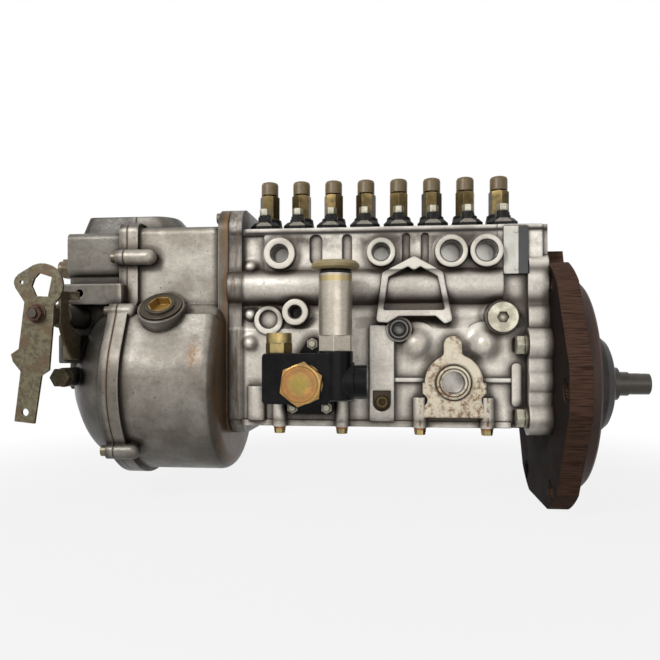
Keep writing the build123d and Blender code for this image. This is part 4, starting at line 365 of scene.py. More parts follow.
def weathered_surface(
    name,
    base,
    mottle,
    grease_and_shade,
    rubbed_and_highlight,
    metallic,
    roughness,
    gleam=0.5,
    patch=30.0,
    grain=1.6,
    grain_depth=0.12,
    swell=0.0,
    edge=1.2,
    cavity=9.0,
    grease_and_shade_amount=0.9,
    wear_and_highlight_amount=0.5,
    shade=0.3,
    shade_reach=24.0,
    pits=0.0,
    speckled=0.06,
    stain=None,
    turned_away_shade=1.0,
):
    """Metal or paint with uneven colour, grease and painted shade in its corners, softened and rubbed edges
    that also carry a painted highlight, and a fine grain.

    Sizes are real millimetres: patch is the blotches, grain the surface texture, swell the depth of the
    cast waves, edge the corner radius, cavity how far grease and painted shade spread out of a corner and
    shade_reach how far painted shade reaches out of a hollow. A stain is a wider film round the grease,
    partly oil and partly painted shade round every feature. Faces that look away from the front and rear are
    painted darker, as dark as turned_away_shade, as painted shade. Returns what the special finishes build
    on.
    """
    material = bpy.data.materials.new(name)
    tree = new_tree(material)
    place = add_node(tree, "TexCoord", give="Object")
    surface = add_node(tree, "BsdfPrincipled", {"Metallic": metallic, "Specular IOR Level": gleam})
    add_node(tree, "OutputMaterial", None, {"Surface": surface.outputs["BSDF"]})
    parts = {"material": material, "tree": tree, "place": place, "surface": surface}
    axes = add_node(tree, "SeparateXYZ", None, {"Vector": place})
    parts.update({axis: axes.outputs[axis] for axis in "XYZ"})
    for pattern, size, detail, rough in (
        ("blotch", patch, 5.0, 0.62),
        ("speckle", patch / 9, 5.0, 0.7),
        ("fine", grain, 3.0, 0.6),
    ):
        settings = {"Scale": 1 / (size * MM), "Detail": detail, "Roughness": rough}
        parts[pattern] = add_node(tree, "TexNoise", settings, {"Vector": place}, "Fac")
    blotch, speckle, fine = parts["blotch"], parts["speckle"], parts["fine"]
    # the shape: its softened edges, how sharply each turns, and how open each place is
    rounded = add_node(tree, "Bevel", {"samples": 4, "Radius": edge * MM}, None, "Normal")
    flat = add_node(tree, "NewGeometry", give="Normal")
    turn = add_node(tree, "VectorMath", {"operation": "DOT_PRODUCT"}, {0: rounded, 1: flat}, "Value")
    openness = add_node(tree, "AmbientOcclusion", {"samples": 6, "Distance": cavity * MM}, None, "AO")
    hollow = add_node(tree, "AmbientOcclusion", {"samples": 5, "Distance": shade_reach * MM}, None, "AO")
    # the metal itself
    mottled = {0: mask_of(tree, (blotch, 0.36, 0.66, 0.0, 1.0, EASED))}
    recolour(parts, add_node(tree, "Mix", {"data_type": "RGBA", 6: base, 7: mottle}, mottled, 2))
    tone(parts, speckle, 0.3, 0.7, 0.86, 1.12)
    tone(parts, fine, 0.25, 0.75, 1.0 - speckled, 1.0 + speckled)
    # rims rubbed bare and lit up as a painted highlight, and painted shade in hollows
    tint(parts, rubbed_and_highlight, (turn, 0.995, 0.86, 0.0, wear_and_highlight_amount), (openness, 0.55, 0.85))
    tone(parts, hollow, 0.25, 0.9, 1.0 - shade, 1.0, EASED)
    # painted shade: faces that look away from the front and rear are darker, standing in for dark reflections
    if turned_away_shade < 1.0:
        facing = add_node(tree, "SeparateXYZ", None, {"Vector": rounded}, "Y")
        facing = add_node(tree, "Math", {"operation": "ABSOLUTE"}, {0: facing}, 0)
        tone(parts, facing, 0.3, 0.95, turned_away_shade, 1.0)
    # a dark film round every feature, partly oil stain and partly painted shade
    if stain:
        tint(parts, stain, (openness, 0.95, 0.78, 0.0, 0.97), (speckle, 0.3, 0.55, 0.88, 1.0))
    # grease and painted shade in the corners, with a dark line of both along their creases, and pits
    corner = mask_of(tree, (openness, 0.7, 0.4, 0.0, grease_and_shade_amount, EASED), (blotch, 0.3, 0.6, 0.6, 1.0))
    crease = mask_of(tree, (turn, 0.985, 0.9, 0.0, grease_and_shade_amount), (openness, 0.72, 0.52))
    dirt_and_shade = [corner, crease]
    if pits:
        dirt_and_shade.append(patches(parts, 2.2, 2.0, 0.5, 0.69, 0.74, pits))
    tint(parts, grease_and_shade, mask_of(tree, *dirt_and_shade, join="MAXIMUM"))
    # roughness, cast waves and grain
    gloss = mask_of(tree, (blotch, 0.3, 0.7, *roughness))
    tree.links.new(gloss, surface.inputs["Roughness"])
    reliefs = [(fine, grain_depth)]
    if swell:
        settings = {"Scale": 1 / (8.0 * MM), "Detail": 2.0, "Roughness": 0.6}
        reliefs.insert(0, (add_node(tree, "TexNoise", settings, {"Vector": place}, "Fac"), swell))
    normal = rounded
    for height, depth in reliefs:
        links = {"Height": height, "Normal": normal}
        normal = add_node(tree, "Bump", {"Strength": 1.0, "Distance": depth * MM}, links, "Normal")
    tree.links.new(normal, surface.inputs["Normal"])
    parts.update(flat=flat, normal=normal)
    return parts


# ---------------------------------------------------------------- finishes
def blasted_aluminium():
    """Sand-cast aluminium after blasting: matt and warm grey, with grease in the corners and oil stains."""
    c = colours()
    parts = weathered_surface(
        "Blasted cast aluminium",
        c.casting,
        linear("D0C8BC"),
        c.grease_and_shade,
        linear("F8F6F0"),
        metallic=0.2,
        roughness=(0.28, 0.42),
        gleam=0.3,
        patch=34.0,
        grain=1.5,
        grain_depth=0.22,
        swell=0.5,
        edge=2.6,
        cavity=10.0,
        wear_and_highlight_amount=0.85,
        turned_away_shade=0.5,
        shade=0.25,
        shade_reach=22.0,
        pits=0.5,
        speckled=0.1,
        stain=linear("433930"),
    )
    tree = parts["tree"]
    # painted shade dims the rack bulge and lies under the top lip, with a dark line along the lip, and along
    # the bulge's top and bottom
    tone_where(parts, 0.8, near(parts, "Z", GALLERY_Z, 26.0, even=True))
    shadowed = linear("40372F")
    tint(parts, shadowed, near(parts, "Z", UNDER_LIP_Z, 17.0, 0.92))
    tint(parts, shadowed, near(parts, "Z", LIP_Z, 4.4, even=True))
    tint(parts, c.grease_and_shade, near(parts, "Z", LIP_Z - 0.2, 2.4, even=True))
    tint(parts, shadowed, near(parts, "Z", GALLERY_TOP_Z, 8.0, 0.85, even=True))
    tint(parts, shadowed, near(parts, "Z", GALLERY_FOOT_Z, 12.0, 0.95, even=True))
    # faced port rings, and the faced pad with its freckles, turned grooves and rust
    machined = machined_front(parts, RING_DEPTH)
    rings = mask_of(tree, inside_box(parts, PORT_ROW), machined)
    side_ring = mask_of(tree, inside_box(parts, SIDE_PORT), machined)
    tint(parts, c.machined, mask_of(tree, rings, side_ring, join="MAXIMUM"))
    pad = mask_of(tree, inside_box(parts, PAD), machined)
    tint(parts, c.pad, pad)
    freckles = patches(parts, 5.0, 6.0, 0.8, 0.47, 0.58, 0.92)
    tint(parts, linear("7C5A34"), pad, freckles, (parts["blotch"], 0.38, 0.5))
    for groove in PAD_GROOVES:
        line = turned_line(parts, PAD_CENTRE, groove, 1.1)
        tint(parts, linear("2C2016"), line, beyond(parts, "Y", -54.0, -55.0))
    tint(parts, linear("7A5834"), pad, (parts["speckle"], 0.5, 0.7, 0.0, 0.9), (parts["blotch"], 0.46, 0.56))
    # painted light on the floors of the ports and the pad's bore, and a brown pocket
    port_floor_light = mask_of(tree, between_depths(parts, PORT_FLOOR_Y), inside_box(parts, PORT_ROW))
    pad_floor_light = mask_of(tree, between_depths(parts, PAD_FLOOR_Y), inside_box(parts, PAD_BORE))
    tint(parts, linear("F2EEE6"), mask_of(tree, port_floor_light, pad_floor_light, join="MAXIMUM"))
    pocket = mask_of(
        tree, inside_box(parts, POCKET), beyond(parts, "Y", -48.0, -44.0), beyond(parts, "Y", -30.0, -32.0)
    )
    tint(parts, linear("6E5D45"), (pocket, 0.0, 1.0, 0.0, 0.8))
    # oil that crept out of the joint, darkened the housing's rim and ran down the front, a dark joint line,
    # and painted shade beside the joint and along the housing's edge
    tone_where(parts, 0.42, beyond(parts, "X", *HOUSING_RIM_START))
    drips(parts, JOINT_X + 7.0, 9.0)
    tint(parts, shadowed, near(parts, "X", JOINT_X, 5.0, 0.9))
    tint(parts, c.grease_and_shade, near(parts, "X", JOINT_X, 1.5, 0.95, even=True))
    tint(parts, shadowed, near(parts, "X", HOUSING_START_X, 4.5, 0.9, even=True))
    # stains round the pad, round the middle of the front and along the foot
    for x, x_reach, x_strength, z, z_reach, z_strength in (
        (-112.0, 36.0, 0.6, 4.0, 40.0, 0.8),
        (-150.0, 52.0, 0.3, 60.0, 32.0, 0.5),
    ):
        across = near(parts, "X", x, x_reach, x_strength)
        tint(parts, c.casting_stain, across, near(parts, "Z", z, z_reach, z_strength))
    tint(parts, linear("4A3C2C"), near(parts, "Z", FOOT_Z, 7.0, 0.6))
    return parts["material"]


def oily_aluminium():
    """Die-cast aluminium under a film of oil: a little darker and glossier than the pump housing."""
    c = colours()
    parts = weathered_surface(
        "Oily cast aluminium",
        c.governor,
        linear("7C756A"),
        c.grease_and_shade,
        linear("DEDAD0"),
        metallic=0.2,
        roughness=(0.32, 0.44),
        gleam=0.22,
        patch=46.0,
        grain=1.5,
        grain_depth=0.14,
        swell=0.35,
        edge=2.8,
        cavity=9.5,
        wear_and_highlight_amount=0.6,
        turned_away_shade=0.6,
        shade=0.25,
        shade_reach=24.0,
        pits=0.8,
        speckled=0.09,
        stain=linear("3A3129"),
    )
    # the box is made lighter; the drum's lower half, the dome of the cover and the hump are darker as painted
    # shade, and the cover and the rim are darker
    above_drum = beyond(parts, "Z", *GOVERNOR_BOX_Z_START)
    tone_where(parts, 1.36, beyond(parts, "X", *GOVERNOR_BOX_X_START), above_drum)
    tone(parts, *beyond(parts, "Z", 70.0, -50.0), 1.0, 0.7)
    cover = beyond(parts, "X", *COVER_START)
    tone_where(parts, 0.56, cover)
    tone_where(parts, 0.75, cover, beyond(parts, "Z", *DOME_START))
    tone_where(parts, 0.42, beyond(parts, "X", *GOVERNOR_RIM_START))
    tone_where(parts, 0.4, beyond(parts, "Z", *HUMP_START))
    # oil out of both joints, and one spill on the drum
    drips(parts, JOINT_X - 5.0, 9.0)
    tint(parts, c.casting_stain, near(parts, "X", JOINT_X - 3.0, 6.0, 0.8))
    tint(parts, c.grease_and_shade, near(parts, "X", JOINT_X, 1.5, 0.95, even=True))
    tint(parts, c.casting_stain, near(parts, "X", COVER_JOINT_X, 3.0, 0.7))
    tint(parts, c.grease_and_shade, near(parts, "X", COVER_JOINT_X, 1.4, 0.95, even=True))
    across, upward = near(parts, "X", -363.0, 11.0, even=True), near(parts, "Z", 30.0, 22.0, even=True)
    tint(parts, linear("6E5232"), across, upward, (parts["speckle"], 0.4, 0.55))
    return parts["material"]


def flame_cut_plate():
    """Mild steel plate cut with a torch: brown scale on its faces and upright drag lines on its edge."""
    c = colours()
    parts = weathered_surface(
        "Flame-cut steel plate",
        c.flange,
        c.flange_rust,
        linear("120E0C"),
        linear("5A4A42"),
        metallic=0.0,
        roughness=(0.7, 0.9),
        gleam=0.06,
        patch=26.0,
        grain=2.4,
        grain_depth=0.3,
        edge=1.0,
        cavity=8.0,
    )
    # drag lines a millimetre apart, on the faces that don't look along the shaft
    tree = parts["tree"]
    drag = add_node(tree, "Mapping", {"Scale": (0.05, 1.0, 1.0)}, {"Vector": parts["place"]}, "Vector")
    settings = {"Scale": 1 / (1.0 * MM), "Detail": 2.0}
    lines = add_node(tree, "TexNoise", settings, {"Vector": drag}, "Fac")
    facing = add_node(tree, "SeparateXYZ", None, {"Vector": parts["flat"]}, "X")
    facing = add_node(tree, "Math", {"operation": "ABSOLUTE"}, {0: facing}, 0)
    edge_face = mask_of(tree, (facing, 0.5, 0.1))
    tint(parts, c.cut_edge, edge_face)
    links = {"Height": mask_of(tree, lines, edge_face), "Normal": parts["normal"]}
    cut = add_node(tree, "Bump", {"Strength": 1.0, "Distance": 0.7 * MM}, links, "Normal")
    tree.links.new(cut, parts["surface"].inputs["Normal"])
    tint(parts, linear("1E1512"), (lines, 0.52, 0.36, 0.0, 0.75), edge_face)
    return parts["material"]


def turned_ring():
    """Turned steel that has tarnished: half dull, under an uneven brown film."""
    c = colours()
    parts = weathered_surface(
        "Turned tarnished steel",
        c.pilot,
        linear("45332B"),
        linear("1A1310"),
        linear("7A655A"),
        metallic=0.2,
        gleam=0.3,
        roughness=(0.35, 0.55),
        patch=28.0,
        edge=0.8,
        cavity=6.0,
    )
    return parts["material"]


def dark_casting():
    """Grey iron with a dark oily skin."""
    c = colours()
    parts = weathered_surface(
        "Oily grey iron",
        c.nose,
        linear("3A3733"),
        linear("100F0E"),
        linear("5C5852"),
        metallic=0.1,
        gleam=0.3,
        roughness=(0.35, 0.55),
        patch=20.0,
        edge=1.5,
        cavity=6.0,
    )
    return parts["material"]


def ground_steel():
    """Ground shaft steel with a dull brown film."""
    c = colours()
    parts = weathered_surface(
        "Ground shaft steel",
        c.shaft,
        linear("443D33"),
        linear("1C1916"),
        linear("8E887C"),
        metallic=0.2,
        roughness=(0.25, 0.45),
        patch=12.0,
        grain=0.9,
        grain_depth=0.03,
        edge=0.7,
        cavity=4.0,
    )
    return parts["material"]


def clear_zinc():
    """Clear zinc plating, dulled, on nuts and bolts."""
    c = colours()
    parts = weathered_surface(
        "Clear zinc plating",
        c.zinc,
        linear("9C9583"),
        linear("2A241B"),
        linear("E4E1DA"),
        metallic=0.5,
        roughness=(0.28, 0.42),
        patch=9.0,
        grain=1.2,
        grain_depth=0.05,
        edge=0.7,
        cavity=5.0,
        speckled=0.12,
        stain=linear("4A4234"),
    )
    return parts["material"]


def yellow_zinc():
    """Yellow passivated zinc: a dull gold film that turns olive where it is thin."""
    c = colours()
    parts = weathered_surface(
        "Yellow passivated zinc",
        c.yellow_zinc,
        linear("857A58"),
        linear("332A1C"),
        linear("C9BC93"),
        metallic=1.0,
        roughness=(0.3, 0.5),
        patch=8.0,
        grain=1.2,
        grain_depth=0.05,
        edge=0.6,
        cavity=3.5,
    )
    return parts["material"]


def valve_holder_steel():
    """Valve holders: yellow-brown plating with darker oil at their foot."""
    c = colours()
    parts = weathered_surface(
        "Brown passivated steel",
        c.holder,
        linear("5F5130"),
        linear("1E170E"),
        linear("D2BE84"),
        metallic=0.6,
        roughness=(0.26, 0.42),
        patch=9.0,
        grain=1.0,
        grain_depth=0.04,
        edge=0.6,
        cavity=4.0,
        turned_away_shade=0.4,
        gleam=0.2,
    )
    # the foot hexagon under the cap is dark with oil
    tone_where(parts, 0.55, beyond(parts, "Z", *HOLDER_FOOT_START))
    return parts["material"]


def gold_plating():
    """Bright yellow chromate on a turned hexagon."""
    c = colours()
    parts = weathered_surface(
        "Bright yellow chromate",
        c.gold,
        linear("B58A50"),
        linear("5A3D1C"),
        linear("EBD3A0"),
        metallic=1.0,
        roughness=(0.18, 0.32),
        patch=11.0,
        grain=1.4,
        grain_depth=0.03,
        edge=1.0,
        cavity=3.0,
        grease_and_shade_amount=0.6,
    )
    # the turned face went greenish at its middle and pink at its rim
    for radius, reach, strength, colour in (
        (0.0, 11.0, 0.7, "8E8440"),
        (13.0, 3.6, 0.5, "8E5A3C"),
        (16.2, 0.8, 0.7, "6A4622"),
    ):
        tint(parts, linear(colour), turned_line(parts, FEED_PLUG_CENTRE, radius, reach, strength))
    return parts["material"]


def black_oxide():
    """Black oxide on forged flanged bushes, greasy."""
    c = colours()
    parts = weathered_surface(
        "Black oxide steel",
        c.blued,
        linear("242220"),
        linear("0A0908"),
        linear("8E8A82"),
        metallic=0.0,
        roughness=(0.28, 0.42),
        gleam=0.1,
        patch=10.0,
        grain=1.4,
        grain_depth=0.1,
        edge=0.8,
        cavity=4.0,
    )
    # a bare ring and middle on the blanking plug, and a bare bar rubbed on the front of every bush
    foot, top = BUSH_BAR_Z
    tint(parts, linear("96928A"), turned_line(parts, BLANK_PLUG_CENTRE, 8.2, 0.9, 0.8))
    tint(parts, linear("D8D4CC"), turned_line(parts, BLANK_PLUG_CENTRE, 0.0, 5.0))
    tint(
        parts,
        linear("A09A8E"),
        machined_front(parts, BUSH_DEPTH),
        beyond(parts, "Z", foot, foot + 0.4),
        beyond(parts, "Z", top, top - 0.4),
        (parts["fine"], 0.3, 0.5, 0.3, 0.9),
    )
    return parts["material"]


def oily_bronze():
    """Filler cap: brown oily metal with turned rings and a bright yellow socket."""
    c = colours()
    parts = weathered_surface(
        "Oily bronze cap",
        c.bronze,
        linear("3A3328"),
        linear("15110C"),
        linear("A08F6C"),
        metallic=0.5,
        roughness=(0.3, 0.45),
        patch=9.0,
        grain=1.2,
        grain_depth=0.05,
        edge=0.9,
        cavity=4.0,
        speckled=0.08,
    )
    # distance from the cap's own axis: the socket inside it is bright, and rings were turned round it
    tree = parts["tree"]
    spoke = add_node(
        tree, "VectorMath", {"operation": "SUBTRACT", 1: CAP_CENTRE}, {0: parts["place"]}, "Vector"
    )
    spoke = add_node(tree, "VectorMath", {"operation": "CROSS_PRODUCT", 1: CAP_AXIS}, {0: spoke}, "Vector")
    radius = add_node(tree, "VectorMath", {"operation": "LENGTH"}, {0: spoke}, "Value")
    tint(parts, linear("9A7B42"), (radius, 11.8 * MM, 11.0 * MM))
    ring_pitch = 2.6 * MM
    turns = add_node(tree, "Math", {"operation": "MULTIPLY", 1: 2 * pi / ring_pitch}, {0: radius}, 0)
    rings = add_node(tree, "Math", {"operation": "SINE"}, {0: turns}, 0)
    tint(parts, linear("191510"), (radius, 13.0 * MM, 14.0 * MM), (rings, 0.5, 1.0, 0.0, 0.75))
    return parts["material"]


def oiled_steel():
    """Machined inner steel under a film of oil."""
    c = colours()
    parts = weathered_surface(
        "Oiled machined steel",
        c.bare_steel,
        linear("77777A"),
        linear("2A2622"),
        linear("C4C4C4"),
        metallic=1.0,
        roughness=(0.22, 0.38),
        patch=14.0,
        grain=0.9,
        grain_depth=0.03,
        edge=0.5,
        cavity=4.0,
    )
    return parts["material"]


def moulded_cap():
    """Moulded polyethylene cap: soft, waxy and a little see-through at its rim."""
    c = colours()
    parts = weathered_surface(
        "Moulded polyethylene",
        c.cap,
        linear("655430"),
        linear("332919"),
        linear("A8976C"),
        metallic=0.0,
        roughness=(0.32, 0.46),
        patch=7.0,
        grain=1.5,
        grain_depth=0.04,
        edge=0.8,
        cavity=4.0,
        grease_and_shade_amount=0.6,
        wear_and_highlight_amount=0.25,
    )
    surface = parts["surface"]
    surface.inputs["IOR"].default_value = 1.51
    surface.inputs["Subsurface Weight"].default_value = 0.15
    surface.inputs["Subsurface Radius"].default_value = (1.5 * MM, 1.1 * MM, 0.6 * MM)
    return parts["material"]


def black_enamel():
    """Satin black paint over a casting, with a few chips."""
    c = colours()
    parts = weathered_surface(
        "Satin black enamel",
        c.black_paint,
        linear("141416"),
        linear("060606"),
        linear("55534E"),
        metallic=0.0,
        roughness=(0.2, 0.32),
        gleam=0.1,
        patch=16.0,
        grain=2.0,
        grain_depth=0.14,
        edge=1.8,
        cavity=5.0,
        wear_and_highlight_amount=0.3,
    )
    return parts["material"]


def satin_nickel():
    """Satin plated tube with a warm film of fuel."""
    c = colours()
    parts = weathered_surface(
        "Satin nickel plating",
        c.nickel,
        linear("A0988A"),
        linear("3A3428"),
        linear("DDD9CC"),
        metallic=0.85,
        roughness=(0.32, 0.42),
        patch=24.0,
        grain=1.2,
        grain_depth=0.03,
        edge=0.8,
        cavity=4.0,
        grease_and_shade_amount=0.7,
        speckled=0.08,
    )
    # a brighter brassy band under the knob
    foot, top = NECK_Z
    tint(parts, linear("A8966C"), beyond(parts, "Z", foot, foot + 0.5), beyond(parts, "Z", top, top - 0.6))
    return parts["material"]


def aged_nylon():
    """Turned nylon that has gone yellow, with brown fuel marks."""
    c = colours()
    parts = weathered_surface(
        "Aged nylon",
        c.knob,
        linear("86744A"),
        linear("3E301C"),
        linear("BFB28A"),
        metallic=0.0,
        roughness=(0.35, 0.5),
        patch=10.0,
        grain=1.4,
        grain_depth=0.06,
        edge=1.0,
        cavity=4.0,
        grease_and_shade_amount=0.7,
        wear_and_highlight_amount=0.3,
    )
    surface = parts["surface"]
    surface.inputs["IOR"].default_value = 1.53
    surface.inputs["Subsurface Weight"].default_value = 0.12
    surface.inputs["Subsurface Radius"].default_value = (1.8 * MM, 1.3 * MM, 0.7 * MM)
    return parts["material"]


def dull_copper():
    """Annealed copper washer, gone dull."""
    c = colours()
    parts = weathered_surface(
        "Dull copper",
        c.copper,
        linear("7F4F32"),
        linear("2C1C12"),
        linear("CC8F63"),
        metallic=1.0,
        roughness=(0.35, 0.5),
        patch=6.0,
        grain=1.0,
        grain_depth=0.04,
        edge=0.4,
        cavity=3.0,
    )
    return parts["material"]


def lever_zinc():
    """Olive zinc on pressed steel, with rust in spots."""
    c = colours()
    parts = weathered_surface(
        "Olive zinc on pressed steel",
        c.lever,
        linear("6A6450"),
        linear("3A2C1C"),
        linear("C9C3AC"),
        metallic=0.4,
        roughness=(0.32, 0.5),
        pits=0.9,
        patch=14.0,
        grain=1.3,
        grain_depth=0.06,
        speckled=0.14,
        edge=0.8,
        cavity=4.0,
    )
    # rust spots, dark scuffs and browned patches
    tint(parts, c.rust, patches(parts, 6.0, 6.0, 0.7, 0.6, 0.72, 0.85))
    scuffs = patches(parts, 5.0, 6.0, 0.85, 0.45, 0.56, 0.92)
    tint(parts, linear("453A2A"), scuffs, (parts["blotch"], 0.34, 0.5))
    tint(parts, linear("5C4833"), patches(parts, 16.0, 4.0, 0.7, 0.5, 0.62, 0.8))
    return parts["material"]


def rusted_steel():
    """Steel nut with loose brown rust."""
    c = colours()
    parts = weathered_surface(
        "Rusted steel",
        c.rusty_nut,
        linear("3A281D"),
        linear("24160E"),
        linear("A57A52"),
        metallic=0.3,
        roughness=(0.6, 0.85),
        patch=5.0,
        grain=1.0,
        grain_depth=0.18,
        edge=0.6,
        cavity=3.0,
    )
    return parts["material"]


def bare_plate():
    """Thin lacquered plate with nothing printed on it."""
    c = colours()
    parts = weathered_surface(
        "Lacquered white plate",
        c.plate,
        linear("D6D2C4"),
        linear("6E6450"),
        linear("F2F0EA"),
        metallic=0.0,
        roughness=(0.3, 0.45),
        patch=14.0,
        grain=1.5,
        grain_depth=0.02,
        edge=0.4,
        cavity=3.0,
        grease_and_shade_amount=0.5,
        wear_and_highlight_amount=0.2,
    )
    tint(parts, linear("20201F"), beyond(parts, "X", PLATE_BAND_X, PLATE_BAND_X + 0.4))
    return parts["material"]


def moulded_rubber():
    """Nitrile rubber, matt with a faint bloom."""
    c = colours()
    parts = weathered_surface(
        "Nitrile rubber",
        c.rubber,
        linear("222220"),
        linear("0A0A0A"),
        linear("3A3A38"),
        metallic=0.0,
        roughness=(0.5, 0.65),
        patch=6.0,
        grain=1.0,
        grain_depth=0.03,
        edge=0.4,
        cavity=3.0,
    )
    parts["surface"].inputs["IOR"].default_value = 1.52
    return parts["material"]


FINISHES = {
    "pump_casting": blasted_aluminium,
    "governor_casting": oily_aluminium,
    "flange_plate": flame_cut_plate,
    "pilot_ring": turned_ring,
    "bearing_plate": dark_casting,
    "shaft_steel": ground_steel,
    "zinc_steel": clear_zinc,
    "yellow_zinc": yellow_zinc,
    "holder_brass": valve_holder_steel,
    "gold_plug": gold_plating,
    "blued_steel": black_oxide,
    "inner_steel": oiled_steel,
    "cap_plastic": moulded_cap,
    "feed_casting": black_enamel,
    "primer_steel": satin_nickel,
    "knob_plastic": aged_nylon,
    "copper_washer": dull_copper,
    "lever_plate": lever_zinc,
    "rusty_steel": rusted_steel,
    "plate_white": bare_plate,
    "seal_rubber": moulded_rubber,
}
# Nodes whose finish isn't their slot's
NODE_FINISHES = {
    "filler_cap": oily_bronze,
    "governor_screws": lever_zinc,
    "stop_screws": lever_zinc,
}
made = {}


def finish_for(slot, node=None):
    """Material of a record slot, or of a node with a finish of its own, made once."""
    finish = NODE_FINISHES.get(node, FINISHES[slot])
    if finish not in made:
        made[finish] = finish()
    return made[finish]


# ---------------------------------------------------------------- modelling helpers
def new_piece(name, shape, slot, body):
    """Turn a finished bmesh into a piece that rides on a body and takes a slot's finish."""
    bmesh.ops.remove_doubles(shape, verts=shape.verts, dist=1e-6)
    bmesh.ops.recalc_face_normals(shape, faces=shape.faces)
    mesh = bpy.data.meshes.new(name)
    shape.to_mesh(mesh)
    shape.free()
    for face in mesh.polygons:
        face.use_smooth = True
    mesh.set_sharp_from_angle(angle=radians(35))
    piece = bpy.data.objects.new(name, mesh)
    bpy.context.scene.collection.objects.link(piece)
    mesh.materials.append(finish_for(slot))
    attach(piece, body)
    return piece


def add_turned(shape, outline, centre, axis, steps=48):
    """Spin a closed outline of (radius, height) points about an axis through a centre."""
    along = Vector(axis).normalized()
    side = along.orthogonal().normalized()
    points = [Vector(centre) + side * radius + along * height for radius, height in outline]
    verts = [shape.verts.new(point) for point in points]
    edges = [shape.edges.new((verts[i], verts[(i + 1) % len(verts)])) for i in range(len(verts))]
    bmesh.ops.spin(
        shape, geom=verts + edges, cent=centre, axis=along, angle=2 * pi, steps=steps, use_merge=True
    )


def circle_outline(radius, section, points=14):
    """Outline of a round section at a radius, as (radius, height) points."""
    turns = [2 * pi * i / points for i in range(points)]
    return [(radius + section * cos(turn), section * sin(turn)) for turn in turns]


# ---------------------------------------------------------------- operators
class PUMP_OT_finishes(bpy.types.Operator):
    """Give every CAD node its finish"""

    bl_idname = "pump.finishes"
    bl_label = "Finishes"

    def execute(self, context):
        for entry in frame["record"]["subparts"]:
            materials = frame["nodes"][entry["node"]].data.materials
            materials.clear()
            materials.append(finish_for(entry["material_slot"], entry["node"]))
        return {"FINISHED"}


class PUMP_OT_return_spring(bpy.types.Operator):
    """Coil the control lever's return spring round its shaft"""

    bl_idname = "pump.return_spring"
    bl_label = "Return Spring"

    def execute(self, context):
        s = sizes()
        low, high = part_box("lever_nut")
        rise = s.spring_rise * s.spring_turns
        start_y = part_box("control_lever")[0].y + s.spring_standoff + rise
        centre = Vector(((low.x + high.x) / 2, start_y, (low.z + high.z) / 2))
        shape = bmesh.new()
        wire = bmesh.ops.create_circle(shape, cap_ends=False, segments=12, radius=s.spring_wire)["verts"]
        bmesh.ops.translate(shape, verts=wire, vec=centre + Vector((s.spring_radius, 0, 0)))
        steps = 36 * s.spring_turns  # one every ten degrees
        bmesh.ops.spin(
            shape,
            geom=wire + list({e for v in wire for e in v.link_edges}),
            cent=centre,
            axis=(0, 1, 0),
            dvec=(0, -rise / steps, 0),
            angle=2 * pi * s.spring_turns,
            steps=steps,
            use_merge=False,
        )
        bmesh.ops.holes_fill(shape, edges=[e for e in shape.edges if e.is_boundary])
        new_piece("lever_return_spring", shape, "rusty_steel", "pump")
        return {"FINISHED"}


class PUMP_OT_primer_seal(bpy.types.Operator):
    """Set the black seal ring between the primer's tube and its knob"""

    bl_idname = "pump.primer_seal"
    bl_label = "Primer Seal"

    def execute(self, context):
        s = sizes()
        low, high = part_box("primer_cylinder")
        centre = ((low.x + high.x) / 2, (low.y + high.y) / 2, high.z + s.seal_section)
        shape = bmesh.new()
        add_turned(shape, circle_outline(s.seal_radius, s.seal_section), centre, (0, 0, 1), 64)
        new_piece("primer_seal_ring", shape, "seal_rubber", "pump")
        return {"FINISHED"}


class PUMP_OT_pocket_screw(bpy.types.Operator):
    """Put the socket screw into the pocket of the front column"""

    bl_idname = "pump.pocket_screw"
    bl_label = "Pocket Screw"

    def execute(self, context):
        # every other size is a share of the head's radius
        head = sizes().socket_screw_radius
        socket, chamfer, height = 0.52 * head, 0.1 * head, 1.15 * head
        socket_floor = 0.35 * height
        outline = (
            (0, 0),
            (head, 0),
            (head, height - chamfer),
            (head - chamfer, height),
            (socket, height),
            (socket, socket_floor),
            (0, socket_floor),
        )
        shape = bmesh.new()
        add_turned(shape, outline, POCKET_SCREW_PLACE, (0, -1, 0), 40)
        new_piece("pocket_socket_screw", shape, "holder_brass", "pump")
        return {"FINISHED"}


def lay_floor(scene, middle):
    """Lay a pale floor that shows white further away and keeps the pump's shadow."""
    s = sizes()
    shape = bmesh.new()
    bmesh.ops.create_grid(shape, x_segments=1, y_segments=1, size=s.backdrop_size / 2)
    bmesh.ops.translate(shape, verts=shape.verts, vec=(0, 0, CAD_BOX[0][2] - s.floor_gap))
    mesh = bpy.data.meshes.new("floor")
    shape.to_mesh(mesh)
    shape.free()
    floor = bpy.data.objects.new("floor", mesh)
    scene.collection.objects.link(floor)
    paper = bpy.data.materials.new("White paper floor")
    tree = new_tree(paper)
    matt = add_node(tree, "BsdfDiffuse", {"Color": colours().floor}, None, "BSDF")
    white = add_node(tree, "Emission", {"Strength": 1.0}, None, "Emission")
    place = add_node(tree, "TexCoord", give="Object")
    spoke = add_node(tree, "VectorMath", {"operation": "SUBTRACT", 1: middle}, {0: place}, "Vector")
    away = add_node(tree, "VectorMath", {"operation": "LENGTH"}, {0: spoke}, "Value")
    share = mask_of(tree, seen_directly(tree), (away, 0.35, 0.8, 0.86, 1.0, EASED))
    shown = add_node(tree, "MixShader", None, {0: share, 1: matt, 2: white}, "Shader")
    add_node(tree, "OutputMaterial", None, {"Surface": shown})
    mesh.materials.append(paper)


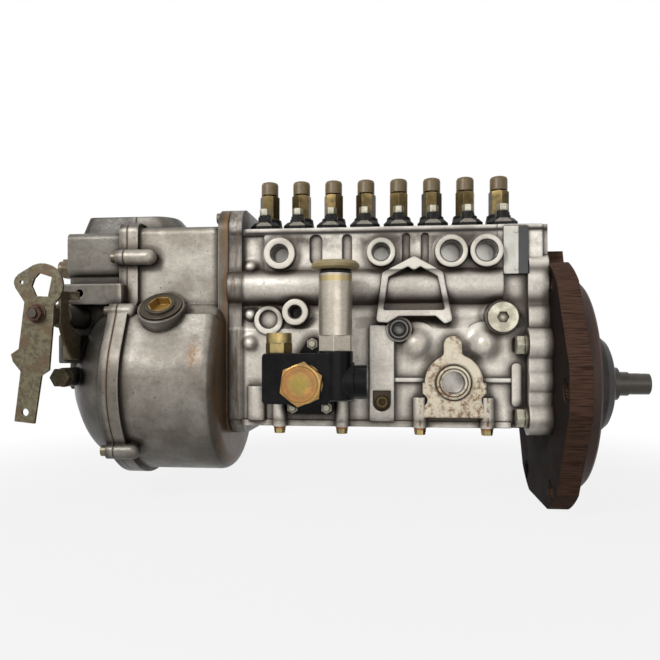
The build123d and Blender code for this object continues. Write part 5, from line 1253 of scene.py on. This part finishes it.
def light_scene(scene, middle):
    """Make the world white where it is seen and softly lit elsewhere, and hang the lamps."""
    world = bpy.data.worlds.new("Studio")
    scene.world = world
    tree = new_tree(world)
    soft, bright = (
        add_node(tree, "Background", {"Color": linear("FFFFFF"), "Strength": strength}, None, "Background")
        for strength in (SOFT_LIGHT, 1.0)
    )
    sky = add_node(tree, "MixShader", None, {0: seen_directly(tree), 1: soft, 2: bright}, "Shader")
    add_node(tree, "OutputWorld", None, {"Surface": sky})
    for name, offset, size, power in LAMPS:
        lamp = bpy.data.lights.new(name, "AREA")
        lamp.size = size
        lamp.energy = power
        lamp_object = bpy.data.objects.new(name, lamp)
        lamp_object.location = middle + Vector(offset)
        aim = middle - lamp_object.location
        lamp_object.rotation_euler = aim.to_track_quat("-Z", "Y").to_euler()
        scene.collection.objects.link(lamp_object)


def aim_camera(scene):
    """Stand the camera level in front of the pump, turned a little to its left."""
    camera = bpy.data.cameras.new("Camera")
    camera.lens = FOCAL_LENGTH
    camera.sensor_width = SENSOR_WIDTH
    camera.shift_y = CAMERA_SHIFT
    camera_object = bpy.data.objects.new("Camera", camera)
    camera_object.location = CAMERA_PLACE
    camera_object.rotation_euler = (pi / 2, 0, CAMERA_YAW)
    scene.collection.objects.link(camera_object)
    scene.camera = camera_object


class PUMP_OT_stage(bpy.types.Operator):
    """Lay the pale floor, light it softly and aim the camera"""

    bl_idname = "pump.stage"
    bl_label = "Stage"

    def execute(self, context):
        low, high = CAD_BOX
        middle = Vector([(low[i] + high[i]) / 2 for i in range(3)])
        lay_floor(context.scene, middle)
        light_scene(context.scene, middle)
        aim_camera(context.scene)
        context.scene.view_settings.view_transform = "Standard"
        return {"FINISHED"}


OPERATORS = (
    PUMP_OT_finishes,
    PUMP_OT_return_spring,
    PUMP_OT_primer_seal,
    PUMP_OT_pocket_screw,
    PUMP_OT_stage,
)


class PUMP_PT_panel(bpy.types.Panel):
    """Buttons for every group of pieces"""

    bl_idname = "PUMP_PT_panel"
    bl_label = "Injection Pump"
    bl_space_type = "VIEW_3D"
    bl_region_type = "UI"
    bl_category = "Injection Pump"

    def draw(self, context):
        for operator in OPERATORS:
            self.layout.operator(operator.bl_idname)


CLASSES = (PumpColours, PumpSizes) + OPERATORS + (PUMP_PT_panel,)


def register():
    for item in CLASSES:
        bpy.utils.register_class(item)
    bpy.types.Scene.pump_colours = bpy.props.PointerProperty(type=PumpColours)
    bpy.types.Scene.pump_sizes = bpy.props.PointerProperty(type=PumpSizes)


def unregister():
    del bpy.types.Scene.pump_sizes
    del bpy.types.Scene.pump_colours
    for item in reversed(CLASSES):
        bpy.utils.unregister_class(item)


def main():
    """Register the add-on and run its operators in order."""
    register()
    for operator in OPERATORS:
        group, name = operator.bl_idname.split(".")
        getattr(getattr(bpy.ops, group), name)()


if __name__ == "__main__":
    main()
